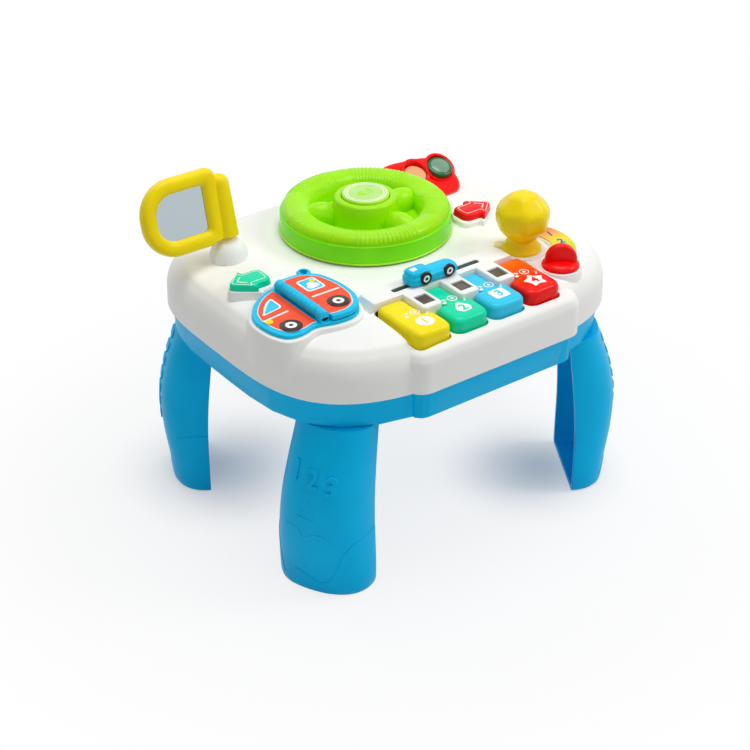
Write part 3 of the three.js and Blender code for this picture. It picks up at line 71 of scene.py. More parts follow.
TABLE = dict(x=3.5, half_width=172.5, front=142.5, back=146, front_power=3.3, back_power=4.2, low=156.2,
             seam=181.8, deck=228.0, crown=0.6, tray_inset=3.0, tray_taper=2.5, tray_proud=0.15,
             band_lift=0.02)
RIM = dict(draw=62, rise=46.2, deck_shares=(0.66, 0.33, 0.1))
RIM_SHARES = [(0, 0), (0.01, 0.42), (0.055, 0.65), (0.13, 0.805), (0.3, 0.93), (1, 1)]
BUMP = dict(x=7.5, half_width=88.5, front=147, back=58, corner=16, corner_share=0.7, top=219.5, draw=9)
BUMP_SHARES = [(0, 0), (0, 0.62), (0.08, 0.78), (0.34, 0.92), (1, 1)]
RECESS = dict(left=-76, right=80, back=-81, ahead=9, ledge=219.5, corners=[0.1, 0.1, 3, 3])
PLATEAU = dict(x=-3, half_width=70, back=-60, top=235, slope=5, corner=6, lip=1.2)
KEYS = dict(count=4, x=2, pitch=38, width=34.5, front=-137, back=-82, low=211, top=231.5, corner=9,
            back_corner=2.5, bevel=4.4, back_bevel=0.9, notch=28.2, play=0.7, swing=0.9,
            plunger_low=199)
# A key's prints, from the key's front middle: the patch and number, the ring with its dot, and notes.
KEY_PRINTS = dict(ahead=16, patch=7.6, half=7.5, number=12, ring=3.5, ring_wide=0.8, dot=1.5, ring_x=2,
                  ring_y=16, star=(10.5, 6.2), thick=0.12)
KEY_LOOKS = [("key_yellow", "yellow"), ("teal", "teal"), ("pale_blue", "sky_blue"), ("key_red", "red")]
KEY_DROP = [(0, 10), (7.5, -1), (4.5, -7), (-4.5, -7), (-7.5, -1)]
KEY_NOTES = [("note", -8, 13, 6), ("small_note", 8.5, 8, 3.6)]
# A note's parts as shares of its size.
NOTE = dict(head=0.3, squash=0.8, stem=[(0.2, 0), (0.32, 0), (0.32, 1), (0.2, 1)],
            flag=[(0.3, 1), (0.7, 0.7), (0.66, 0.5), (0.3, 0.78)])
WINDOW = dict(width=19, length=25.5, corner=4, glass_width=12.5, glass_length=14.5, y=-97, sunk=0.05,
              bevel=1.4)
LEGS = dict(x=131, front=-91, back=103, turn=30, slew=6, high=155.9, sole=4, plate=7, skin=3, power=2.4,
            half_chord=41.5, deep=41, lean=10, open=9, widest=0.999)
LEG_SHARES = [(0, 0.93, 0.73, 0), (0.022, 0.99, 0.785, 0), (0.15, 1, 0.84, 0),
              (0.36, 0.975, 0.95, 0.02), (0.56, 0.93, 1, 0.2), (0.76, 0.875, 0.93, 0.55),
              (0.91, 0.835, 0.80, 0.85), (1, 0.82, 0.73, 1)]
# The foot band's upper edge: shares across the leg and heights.
FOOT_WAVE = ([0, 0.07, 0.14, 0.22, 0.29, 0.38, 0.48, 0.58, 0.67, 0.75, 0.82, 0.9, 1],
             [62, 34, 9, 14, 22, 20, 15, 12, 15, 27, 45, 54, 59])
FOOT = dict(proud=0.5, columns=64, rows=12)
# Each number's place across and up the leg, then the blocks up the ridge.
LEG_NUMBERS = dict(places=[(-18, 118), (-2, 114), (14.5, 110)], size=23, thick=1.5, ridge=2.0,
                   proud=0.55)
TREADS = dict(first=60, end=150, step=13, half=6, high=8, rings=((-0.6, 0), (0.9, 0), (1.3, 0.5)))
# The triangle's corners, and each arc's middle, reach both ways, start, end and count of points.
LEG_TRIANGLE = [(-13, 80), (3, 78), (-3, 96)]
LEG_ARCS = [(-20, 58, 12, 10, 0.2, 1.9, 8), (7, 52, 13, 12, 0.1, 2.6, 10)]
WHEEL = dict(x=8.8, y=43.9, outer=72.4, inner=47, low=233.4, top=254.2, floor=2.4, hub=27.5,
             hub_top=259.6, hub_share=0.7, hub_round=3.2, well=21.2, well_low=247.2, skin=3,
             stem_bore=9, shaft=9.5, reach=38, long=19, wide=11.5, high=14.6, spoke_z=239,
             spoke_tip=0.02)
SPOKE_ANGLES = (149, 3, -75)
RIB_GROUPS = ((22, 66), (84, 128), (168, 212), (228, 272), (300, 344))
RIBS = dict(step=3.1, reach=7, middle=13, sunk=-0.3,
            across=((-1.1, -0.3), (-0.6, 0.38), (0.6, 0.38), (1.1, -0.3)))
RING_OVER = [(1, 0), (1, 0.62), (0.96, 0.83), (0.82, 0.97), (0.6, 1), (0.33, 0.95), (0.12, 0.8),
             (0, 0.5)]
RING_UNDER = [(0.16, 0.5), (0.26, 0.72), (0.5, 0.85), (0.74, 0.83), (0.88, 0.62), (0.88, 0)]
SKIRT = dict(low=230, flange=75.4, thick=1.4, outer=74.3, top=246.5)
HORN = dict(radius=20.7, top=261.8, low=254.4, bevel=1.6, stem=6, stem_long=4, face=14.4)
HORN_RINGS = ((18.8, 17.6), (16.4, 15.4))
HORN_SIGN = [(-5, -2.2), (-2.6, -2.2), (1.4, -5.6), (1.4, 5.6), (-2.6, 2.2), (-5, 2.2)]
HORN_WAVES = dict(left=3, radii=(5.0, 8.0), wide=1.2, ahead=1.6, turn=48)
PLINTH_RING = dict(radius=64, top=229.7)
MIRROR = dict(x=-115, y=70, lean=13, dome=16.5, dome_high=18, barrel=8.1, barrel_low=0.6,
              barrel_long=55, width=73, high=66, thick=13, band=13.2, square=9, round=30, drop=3,
              power=0.8, start=0.15, foot=((0.8, 0), (1.12, 0.5), (1.15, 1.6)))
ARROW = dict(length=37, head_wide=32, tail_wide=21.5, head_share=0.56, round=7, rise=5.6,
             plinth_rise=233, plinth_grow=3.6, low=219.4, play=0.6, bevel=1.8, skirt_low=213,
             cap_bevel=2.4, line_inset=3.6, line=0.8, mark=1.4, line_proud=0.15)
ARROW_PLACES = dict(left=(-136, 10, -1), right=(98, 3, 1))
ARROW_MARK = [(3, 5.5), (9, 0), (3, -5.5)]
BOOK = dict(x=-120.5, y=-46, half_width=44.5, half_depth=39.5, plinth_grow=3.6, plinth_top=230.4,
            base_low=230.7, base_top=233.6, page_low=234.9, page_top=238.6, spine_radius=4.6,
            spine_z=238.6, spine_half=33, knuckle=9, corner=9.5, spine_x=-120.5, ear_radius=6.4,
            ear_hole=3.4, ear_x=29, ear_y=39, page_x=-114.9, inset=5.8, plinth_bevel=1.6, foot_half=4.1,
            ribs=9, rib_half=0.7, rib_proud=0.35, rib_from=4)
# The plain bus on the book, from the book's middle: outlines, boxes, then radius and place of discs.
BUS = dict(window=[(-36, 2), (-14, 6), (-14, 24), (-24, 17)],
           pane=[(-33, 3.6), (-15.5, 7), (-15.5, 21), (-23, 15)],
           stripe=[(-40, -4), (-14, -1), (-14, -3), (-40, -6)],
           back_stripe=[(9, -1), (36, -1), (36, -3), (9, -3)], back_window=(11.5, 29, 6, 26),
           back_pane=(13.2, 27.3, 7.7, 24.3), lamp=(3.2, -36, -8), sun=(2.4, 24.5, 20.5),
           cloud=((3.4, 18, 12), (4.2, 22, 13), (3.2, 20, 16.5)), wheel=9.2, front_wheel=(-25.5, -23),
           back_wheel=(22, -20))
VAN_SHARES = [(-0.96, -0.55), (-1, -0.08), (-0.93, 0.25), (-0.66, 0.64), (-0.28, 0.92), (0.12, 1),
              (0.6, 0.99), (0.86, 0.72), (0.98, 0.1), (0.95, -0.45), (0.78, -0.82), (0.52, -0.96),
              (0.2, -0.94), (-0.2, -0.8), (-0.48, -0.92), (-0.8, -0.9)]
# The soft foot of the book's and the arrows' plinths: how far below the top, and how much wider.
PLINTH_FLARE = [(34, 2.4), (27, 2.1), (20, 1.7), (13, 1.2), (8, 0.8), (5, 0.4)]
SLIDER = dict(x=-11, y=-72, left=-50, right=40, slot=5.6, length=50, wide=17, low=235.4, body_top=244.4,
              cab_top=248.2, cab_from=-23.5, cab_to=-3, corner=7, bevel=3.4, wheel=5.5, wheel_z=241.4,
              wheels=(-10.5, 13.5), cab_corner=5, cab_draw=1.3, cab_bevel=2.8, stem=5.5, half_stem=1.8,
              stem_low=226, shade_liner_sunk=0.55, windscreen=(3.2, 9, -2.6, 2.2), wheel_proud=0.9)
# Each ring of a side wheel: its name, share of the radius, place ahead and colour.
SIDE_WHEEL = (("tyre", 1, 0.0, "black"), ("rim", 0.62, -0.06, "ink"), ("cap", 0.3, -0.1, "black"))
TYRE = dict(high=0.7, thick=0.15, rim=0.52, hub=0.2)
GEAR = dict(x=91, y=-68, seat=20, seat_top=229, base=17, neck=11.6, waist=242, head_z=259.5, head=23.4,
            squash=0.94, tongue=24, tongue_wide=13, tongue_thick=2, turn=128, stem=6,
            foot=((0, 0), (0, 1.4), (0.8, 2.4)), flare=((2.6, 5), (0.9, 9)), fade=(2.2, 2.75),
            pole=0.01)
# The ways that the lever head's facets face: degrees down from the top and round it.
FACETS = [(0.25, 0), *((48, 20 + 60 * i) for i in range(6)), *((92, 51.4 * i) for i in range(7)),
          *((132, 30 + 60 * i) for i in range(6))]
FACET_POWER = 26
FACET_SHARE = 0.93
DIAL = dict(inner=27.5, outer=46.5, start=-54, end=20, low=228.7, thick=0.8, grow=1.6, plinth_top=228.4,
            shares=(0.84, 0.5, 0.17), number=11, turn=-12)
KNOB = dict(x=99, y=-109, seat=17.4, seat_top=227.4, seat_low=212, radius=16, collar=4, fin=13.5,
            fin_thick=8, turn=-36, high=19.5, stem=4, fin_bevel=2.6,
            dome=((0.88, 1), (0.7, 1.25), (0.4, 1.45), (0, 1.5)))
TRAFFIC = dict(x=98, y=78, z=240.4, tilt=22, thick=30, bevel=5, plinth_top=228.6, corner=11, room=77.6,
               reach=90, under=180, over=320, lens_low=-5, lens_round=(2.2, 1.6), lens_start=0.1,
               face=((0.74, 0), (0.7, 0.25)))
TRAFFIC_OUTLINE = [(-14, -31), (18, -32), (31.2, -20.2), (34, -1.9), (31.2, 13.1), (14, 22.1),
                   (-24, 25), (-38, 21.1)]
LENSES = dict(green=(18.7, 0.4, 11.8, 5.2), amber=(-6.5, 3.4, 10.6, 1.4))
HOOD = dict(wall=2.8, socket=-5.3, foot=-2, low=0.4, rise=6.0, power=1.3, lip=0.3, lip_share=0.985)

# Studio: the floor's colour, its glow and where the glow takes over, the places by the legs where
# the glow is held back as painted shade over the legs' own shadow, the sky's light, and the lamps.
FLOOR_REACH = 6
FLOOR_LIT = (0.86, 0.86, 0.87, 1)
FLOOR_SEEN = (0.93, 0.925, 0.92, 1)
FLOOR_GLOW = 0.80
FLOOR_FADE = (0.24, 0.46)
SHADE_SPOTS = [(-118, 98, 0.115), (113, -78, 0.10)]
SHADE_LEAST = 0.32
SKY_LIGHT = 0.30
LAMPS = [("top_light", (0.15, 0.0, 2.1), 1.3, 19), ("key_light", (1.3, -0.9, 1.6), 0.8, 12),
         ("fill_light", (-1.3, -1.3, 1.5), 1.6, 2.8), ("back_light", (-0.2, 1.7, 1.4), 1.5, 6)]
LAMP_AIM = (0, 0, 0.2)
CAMERA = dict(eye=(-809.6, -1075.8, 927.4), aim=(9.6, 31.2, 83.4), lens=85.39, sensor=36, near=0.05)

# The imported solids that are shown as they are, by how their names start; the last match holds.
SHOWN = dict(blue=("battery_door", "bottom_tray"), black=("speaker", "gear_clip", "knob_clip"),
             smoke=("led_window_",), rubber=("contact_strip",), board=("circuit_board",),
             yellow=("power_switch",), mirror=("mirror_plate",),
             battery=("battery_1", "battery_2", "battery_3"),
             steel=("key_axle", "wheel_washer", "wheel_screw", "mirror_pin", "book_pin", "gear_screw",
                    "knob_screw", "battery_door_screw", "leg_screw_", "case_screw_"))

# Mesh making: points this near become one (in metres), an edge this sharp is softened (in degrees),
# how much of a side a curved corner may take, the least radius, and how fine and deep a ridge is.
MERGE = 2e-6
SHARP = 35
CORNER_SHARE = 0.48
LEAST = 0.02
RIDGE = dict(step=1.4, least=1e-6, shares=(-0.5, -0.25, 0.25, 0.5), sunk=-0.25)
STAR_CORNER = 0.18
BOLD_SHARE = 0.028

# The wheel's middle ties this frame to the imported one.
skirt_low, skirt_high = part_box("wheel_skirt")
SHIFT = np.array([
    (skirt_low.x + skirt_high.x) / 2 / MM - WHEEL["x"],
                  (skirt_low.y + skirt_high.y) / 2 / MM - WHEEL["y"], 0.0])

# Materials

COLOURS = dict(white=(0.93, 0.93, 0.90), blue=(0.0, 0.51, 0.90), green=(0.37, 0.84, 0.0),
               skirt=(0.22, 0.86, 0.0), skirt_edge=(0.45, 0.90, 0.04), yellow=(0.99, 0.76, 0.0),
               gear=(0.98, 0.74, 0.0), red=(0.96, 0.003, 0.003), teal=(0.0, 0.74, 0.40),
               sky=(0.0, 0.56, 0.88), card=(0.97, 0.085, 0.025), smoke=(0.10, 0.075, 0.06),
               black=(0.02, 0.014, 0.01), tyre=(0.05, 0.03, 0.025), ink=(0.95, 0.95, 0.93),
               steel=(0.55, 0.56, 0.57), lens_green=(0.004, 0.13, 0.035),
               lens_green_face=(0.16, 0.31, 0.21), lens_amber=(0.88, 0.44, 0.20),
               board=(0.01, 0.12, 0.03), rubber=(0.09, 0.095, 0.10), key_yellow=(0.99, 0.80, 0.0),
               # slot: grey-green painted shade for the inside of the car's slot.
               pale_blue=(0.03, 0.62, 0.90), pale_green=(0.48, 0.88, 0.06), slot=(0.20, 0.28, 0.25),
               cream=(0.98, 0.80, 0.45), battery=(0.03, 0.03, 0.035))


def node(tree, kind, **settings):
    made = tree.nodes.new(kind)
    for name, value in settings.items():
        if hasattr(made, name):
            setattr(made, name, value)
        else:
            made.inputs[name].default_value = value
    return made


def plastic(name, colour, rough=0.25, grain=0.12, metal=0.0, tint=0.035, shine=0.19, paint=None):
    """Moulded plastic: a faint mottling of colour, a fine moulded grain and an uneven gloss."""
    material = bpy.data.materials.new(name)
    material.use_nodes = True
    tree = material.node_tree
    shader = tree.nodes["Principled BSDF"]
    shader.inputs["Metallic"].default_value = metal
    shader.inputs["Specular IOR Level"].default_value = shine
    place = node(tree, "ShaderNodeTexCoord")
    wide = node(tree, "ShaderNodeTexNoise", Scale=34.0, Detail=3.0)
    fine = node(tree, "ShaderNodeTexNoise", Scale=900.0, Detail=2.0)
    for texture in (wide, fine):
        tree.links.new(place.outputs["Object"], texture.inputs["Vector"])
    ramp = node(tree, "ShaderNodeValToRGB")
    low = [c * (1 - tint) for c in colour]
    high = [min(1.0, c * (1 + tint)) for c in colour]
    ramp.color_ramp.elements[0].position = 0.35
    ramp.color_ramp.elements[1].position = 0.65
    ramp.color_ramp.elements[0].color = (*low, 1)
    ramp.color_ramp.elements[1].color = (*high, 1)
    tree.links.new(wide.outputs["Fac"], ramp.inputs["Fac"])
    tree.links.new(ramp.outputs["Color"], shader.inputs["Base Color"])
    if paint is not None:
        printed(tree, place, shader, ramp, paint)
    spread = node(tree, "ShaderNodeMapRange")
    spread.inputs["To Min"].default_value = rough * 0.85
    spread.inputs["To Max"].default_value = rough * 1.15
    tree.links.new(wide.outputs["Fac"], spread.inputs["Value"])
    tree.links.new(spread.outputs["Result"], shader.inputs["Roughness"])
    relief = node(tree, "ShaderNodeBump", Strength=grain, Distance=0.0002)
    tree.links.new(fine.outputs["Fac"], relief.inputs["Height"])
    tree.links.new(relief.outputs["Normal"], shader.inputs["Normal"])
    return material


def printed(tree, place, shader, mottle, paint):
    """A printed run of colours from the front to the back of a piece, over the mottling."""
    front, back, stops = paint
    axes = node(tree, "ShaderNodeSeparateXYZ")
    tree.links.new(place.outputs["Object"], axes.inputs["Vector"])
    along = node(tree, "ShaderNodeMapRange")
    along.inputs["From Min"].default_value = (front + SHIFT[1]) * MM
    along.inputs["From Max"].default_value = (back + SHIFT[1]) * MM
    tree.links.new(axes.outputs["Y"], along.inputs["Value"])
    run = node(tree, "ShaderNodeValToRGB")
    while len(run.color_ramp.elements) < len(stops):
        run.color_ramp.elements.new(0.5)
    for element, (share, colour) in zip(run.color_ramp.elements, stops):
        element.position = share
        element.color = (*colour, 1)
    tree.links.new(along.outputs["Result"], run.inputs["Fac"])
    both = node(tree, "ShaderNodeMix", data_type="RGBA", blend_type="MULTIPLY")
    both.inputs[0].default_value = 1.0
    tree.links.new(run.outputs["Color"], both.inputs[6])
    tree.links.new(mottle.outputs["Color"], both.inputs[7])
    tree.links.new(both.outputs[2], shader.inputs["Base Color"])


M = {name: plastic(name, colour) for name, colour in COLOURS.items()}
M["white"] = plastic("shell_plastic", COLOURS["white"], rough=0.38, grain=0.10, tint=0.008, shine=0.15)
M["blue"] = plastic("blue_plastic", COLOURS["blue"], rough=0.36, tint=0.025, shine=0.08)
M["steel"] = plastic("steel_bright", COLOURS["steel"], rough=0.28, grain=0.2, metal=1.0)
M["mirror"] = plastic("mirror_film", (0.46, 0.53, 0.56), rough=0.05, grain=0.02, metal=1.0, tint=0.01)
M["smoke"] = plastic("smoked_window", COLOURS["smoke"], rough=0.16, grain=0.02, shine=0.5)
M["lens_green"] = plastic("green_lens", COLOURS["lens_green"], rough=0.12, grain=0.02, shine=0.5)
M["lens_green_face"] = plastic("green_lens_face", COLOURS["lens_green_face"], rough=0.12, grain=0.02,
                               shine=0.5)
M["lens_amber"] = plastic("amber_lens", COLOURS["lens_amber"], rough=0.16, grain=0.02, shine=0.4)
M["battery"] = plastic("battery_skin", COLOURS["battery"], rough=0.3, metal=0.3)
M["key_red"] = plastic("red_key_print", (0.99, 0.99, 0.99), paint=(
    KEYS["front"], KEYS["back"], [(0.3, (0.95, 0.006, 0.003)), (1.0, (0.93, 0.17, 0.01))]))
M["horn_face"] = plastic("horn_print", (0.50, 0.80, 0.24), rough=0.35)
M["numeral"] = plastic("blue_print", (0.01, 0.10, 0.42), rough=0.4)
M["dial"] = plastic("dial_print", (0.99, 0.99, 0.99), rough=0.4, paint=(
    GEAR["y"] - 34, GEAR["y"] + 12, [(0.0, (0.50, 0.76, 0.03)), (0.3, (0.62, 0.78, 0.04)),
                                     (0.62, (0.96, 0.72, 0.04)), (1.0, (0.93, 0.24, 0.10))]))
M["rubber"] = plastic("contact_rubber", COLOURS["rubber"], rough=0.75, grain=0.3)
M["board"] = plastic("board_resin", COLOURS["board"], rough=0.45, grain=0.2)


# Mesh making


def metres(point):
    return tuple((np.array(point) + SHIFT) * MM)


def polar(radius, x, y, angle, squash=1.0):
    return x + radius * math.cos(angle), y + squash * radius * math.sin(angle)


def about(sides):
    return np.linspace(0, 2 * math.pi, sides, endpoint=False)


def build(name, rings, body, material, smooth=35, loop=False, nodes=(), slot=None):
    """Rings of equal count become one skin, capped at both ends or led round to the first ring."""
    rings = [*rings, rings[0]] if loop else rings
    count, last = len(rings[0]), len(rings) - 1
    points = [metres(p) for ring in rings for p in ring]
    faces = []
    for level in range(last):
        for i in range(count):
            a, b = level * count + i, level * count + (i + 1) % count
            faces.append((a, b, b + count, a + count))
    if not loop:
        faces.append(tuple(reversed(range(count))))
        faces.append(tuple(range(last * count, (last + 1) * count)))
    return finish_mesh(name, points, faces, body, material, smooth, nodes)


def finish_mesh(name, points, faces, body, material, smooth=35, nodes=()):
    mesh = bpy.data.meshes.new(name)
    mesh.from_pydata(points, [], faces)
    mesh.validate()
    work = bmesh.new()
    work.from_mesh(mesh)
    bmesh.ops.remove_doubles(work, verts=work.verts, dist=MERGE)
    bmesh.ops.recalc_face_normals(work, faces=work.faces)
    work.to_mesh(mesh)
    work.free()
    made = show(name, mesh, material)
    shade(made, smooth)
    return belong(made, body, nodes)


def show(name, mesh, material):
    mesh.materials.append(material)
    made = bpy.data.objects.new(name, mesh)
    bpy.context.scene.collection.objects.link(made)
    return made


def belong(made, body, nodes=()):
    """Says which body carries a piece and which solids it stands for."""
    if body:
        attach(made, body)
    if nodes:
        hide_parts(*nodes)
    return made


def shade(made, angle):
    made.data.shade_smooth()
    made.data.set_sharp_from_angle(angle=math.radians(angle))


def boolean(made, cutters, smooth=35):
    """The cutters are taken away from a piece and then thrown away."""
    for cutter in cutters:
        modifier = made.modifiers.new("cut", "BOOLEAN")
        modifier.operation = "DIFFERENCE"
        modifier.solver = "EXACT"
        modifier.object = cutter
        result = settled(made)
        made.modifiers.clear()
        result.materials.clear()
        result.materials.append(made.data.materials[0])
        made.data = result
        bpy.data.objects.remove(cutter)
    shade(made, smooth)
    return made


def settled(made):
    graph = bpy.context.evaluated_depsgraph_get()
    return bpy.data.meshes.new_from_object(made.evaluated_get(graph))


def soften(made, width, segments=2):
    """Rounds the edges that a cut left sharp."""
    modifier = made.modifiers.new("soft_edges", "BEVEL")
    modifier.width = width * MM
    modifier.segments = segments
    modifier.limit_method = "ANGLE"
    modifier.angle_limit = math.radians(SHARP)
    modifier.harden_normals = False


def rounded(points, radii, steps=6):
    """A polygon with curved corners, as a list of points."""
    count = len(points)
    radii = radii if isinstance(radii, (list, tuple)) else [radii] * count
    out = []
    for i, corner in enumerate(points):
        corner = np.array(corner, float)
        inward = np.array(points[i - 1]) - corner
        outward = np.array(points[(i + 1) % count]) - corner
        before, after = np.linalg.norm(inward), np.linalg.norm(outward)
        reach = min(radii[i], before * CORNER_SHARE, after * CORNER_SHARE)
        a = corner + inward / before * reach
        b = corner + outward / after * reach
        for step in range(steps + 1):
            t = step / steps
            out.append((1 - t) ** 2 * a + 2 * t * (1 - t) * corner + t * t * b)
    return out


def cornered(corners, steps):
    """Quarter circles, each from its middle, radius and start, joined by straight sides."""
    return [polar(radius, x, y, math.radians(start + 90 * step / steps))
            for x, y, radius, start in corners for step in range(steps + 1)]


def rectangle(left, right, front, back, radius, steps=6):
    return rounded([(left, front), (right, front), (right, back), (left, back)], radius, steps)


def lift(points, z):
    return [(p[0], p[1], z) for p in points]


def slab(points, low, high):
    return [lift(points, low), lift(points, high)]


def quarter(radius, z, bevel, steps=5):
    """A quarter-round edge that ends level at the given height."""
    return [(radius - bevel * (1 - math.cos(t)), z - bevel * (1 - math.sin(t)))
            for t in np.linspace(0, math.pi / 2, steps + 1)]


def pad_rings(shape_at, low, high, bevel, both=False, steps=5):
    """Rings of a plate with a quarter-round edge at the top and, where asked, below."""
    upper = [lift(shape_at(margin), z) for margin, z in quarter(0, high, bevel, steps)]
    if not both:
        return [lift(shape_at(0), low), *upper]
    return [lift(shape_at(margin), low - z) for margin,
            z in reversed(quarter(0, 0, bevel, steps))] + upper


def turned_rings(profile, x, y, sides=96):
    return [lift([polar(max(radius, LEAST), x, y, a) for a in about(sides)], z) for radius,
            z in profile]


def turned(name, profile, size, body, material, sides=96, **rest):
    """A piece turned about the upright through the place that a table of sizes names."""
    return build(name, turned_rings(profile, size["x"], size["y"], sides), body, material, **rest)


def curve_through(points, count=4):
    """Evenly spaced points on a smooth curve through the given ones."""
    points = np.array(points, float)
    padded = np.vstack([2 * points[0] - points[1], points, 2 * points[-1] - points[-2]])
    out = []
    for i in range(len(points) - 1):
        p0, p1, p2, p3 = padded[i:i + 4]
        for t in np.linspace(0, 1, count, endpoint=False):
            out.append(0.5 * (2 * p1 + (p2 - p0) * t + (2 * p0 - 5 * p1 + 4 * p2 - p3) * t ** 2
                              + (3 * p1 - p0 - 3 * p2 + p3) * t ** 3))
    out.append(points[-1])
    return out


def box_piece(left, right, front, back, low, high):
    corners = [(left, front), (right, front), (right, back), (left, back)]
    return build("block", slab(corners, low, high), None, M["white"])


def rod_piece(radius, low, high, size, sides=48):
    return turned("rod", [(radius, low), (radius, high)], size, None, M["white"], sides)


def hole_piece(points, low, high):
    return build("hole", slab(points, low, high), None, M["white"])


def home():
    return Matrix.Translation(-Vector(SHIFT * MM))


def spot(x, y, z=0.0):
    return Matrix.Translation(Vector(metres([x, y, z])))


def turn_matrix(degrees, axis="Z"):
    return Matrix.Rotation(math.radians(degrees), 4, axis)


def set_down(made, x, y, z=0.0, turn=0.0):
    """Moves a piece made about the frame's origin to its place, turned about the upright."""
    made.data.transform(spot(x, y, z) @ turn_matrix(turn) @ home())
    return made


def strip(first, rows, width=4):
    """The faces of a strip that has so many points in each row."""
    return [(a, a + 1, a + width + 1, a + width)
            for i in range(rows - 1) for a in range(first + width * i, first + width * (i + 1) - 1)]


def ribbon(name, path, width, high, place, body, material, closed=False):
    """A low rounded ridge along a path, laid on a surface by the given rule."""
    path = [np.array(p, float) for p in path]
    if closed:
        path.append(path[0])
    fine = [path[0]]
    for a, b in zip(path, path[1:]):
        steps = max(1, int(np.linalg.norm(b - a) / RIDGE["step"]))
        fine += [a + (b - a) * (i + 1) / steps for i in range(steps)]
    points = []
    for i, p in enumerate(fine):
        before, after = fine[max(i - 1, 0)], fine[min(i + 1, len(fine) - 1)]
        if closed and i in (0, len(fine) - 1):
            before, after = fine[-2], fine[1]
        along = (after - before) / max(np.linalg.norm(after - before), RIDGE["least"])
        side = np.array([-along[1], along[0]])
        for share in RIDGE["shares"]:
            q = p + side * width * share
            rise = high if abs(share) < RIDGE["shares"][-1] else RIDGE["sunk"]
            points.append(metres(place(q[0], q[1], rise)))
    return finish_mesh(name, points, strip(0, len(fine)), body, material, 60)


def decal(name, points, z, body, material, thick=0.25):
    """A printed patch, as a thin plate on a level surface."""
    return build(name, slab(points, z, z + thick), body, material, smooth=60)


def disc(radius, x, y, sides=40, squash=1.0):
    return [polar(radius, x, y, a, squash) for a in about(sides)]


def star(radius, inner, x, y, points=5):
    out = [polar(inner if i % 2 else radius, x, y, math.radians(90 + 180 * i / points))
           for i in range(points * 2)]
    return rounded(out, radius * STAR_CORNER, 3)


def lettering(name, text, size, x, y, z, body, material, turn=0.0, thick=0.3):
    """A printed numeral, standing barely proud of its surface."""
    curve = bpy.data.curves.new(name, "FONT")
    curve.body = text
    curve.size = size * MM
    curve.align_x = "CENTER"
    curve.align_y = "CENTER"
    curve.extrude = thick / 2 * MM
    curve.offset = size * MM * BOLD_SHARE
    curve.resolution_u = 4
    flat = bpy.data.objects.new(name + "_outline", curve)
    bpy.context.scene.collection.objects.link(flat)
    mesh = settled(flat)
    bpy.data.objects.remove(flat)
    mesh.transform(spot(x, y, z + thick / 2) @ turn_matrix(turn))
    mesh.materials.clear()
    return belong(show(name, mesh, material), body)


# Shell


def outline(inset, z):
    ring = []
    for a in about(FINE):
        c, s = math.cos(a), math.sin(a)
        power = TABLE["front_power"] if s < 0 else TABLE["back_power"]
        depth = (TABLE["front"] if s < 0 else TABLE["back"]) - inset
        reach = (abs(c / (TABLE["half_width"] - inset)) ** power
                 + abs(s / depth) ** power) ** (-1 / power)
        ring.append((TABLE["x"] + reach * c, reach * s, z))
    return ring


def bump_outline(inset, z):
    corner = BUMP["corner"] + BUMP["corner_share"] * inset
    half = BUMP["half_width"] - inset - corner
    left, right = BUMP["x"] - half, BUMP["x"] + half
    front, back = -BUMP["front"] + inset + corner, -BUMP["back"] - corner
    middles = [(right, front, corner, -90), (right, back, corner, 0), (left, back, corner, 90),
               (left, front, corner, 180)]
    return lift(cornered(middles, 8), z)


def key_x(i):
    return KEYS["x"] + (i - (KEYS["count"] - 1) / 2) * KEYS["pitch"]


def window_x(i):
    return (key_x(i) + key_x(i + 1)) / 2


def key_outline(i, grow, ahead=0):
    """A key's outline: its back edges are beveled less, and the wells reach further ahead."""
    x, half = key_x(i), KEYS["width"] / 2 + grow
    behind = grow * KEYS["back_bevel"] / KEYS["bevel"] if grow < 0 else grow
    front, back = KEYS["front"] - grow - ahead, KEYS["back"] + behind
    notch_back = back - KEYS["notch"]
    notch = WINDOW["width"] / 2 - (KEYS["pitch"] - KEYS["width"]) / 2 + KEYS["play"]
    points = [(x - half, front), (x + half, front)]
    radii = [KEYS["corner"]] * 2
    inside = KEYS["back_corner"]
    if i + 1 < KEYS["count"]:
        points += [(x + half, notch_back), (x + half - notch, notch_back), (x + half - notch, back)]
        radii += [2 * inside, inside, inside]
    else:
        points.append((x + half, back))
        radii.append(inside)
    if i > 0:
        points += [(x - half + notch, back), (x - half + notch, notch_back), (x - half, notch_back)]
        radii += [inside, inside, 2 * inside]
    else:
        points.append((x - half, back))
        radii.append(inside)
    return rounded(points, radii)


def shell_part(name, rings, **rest):
    return build(name, rings, "table", M["white"], slot="shell_white", **rest)


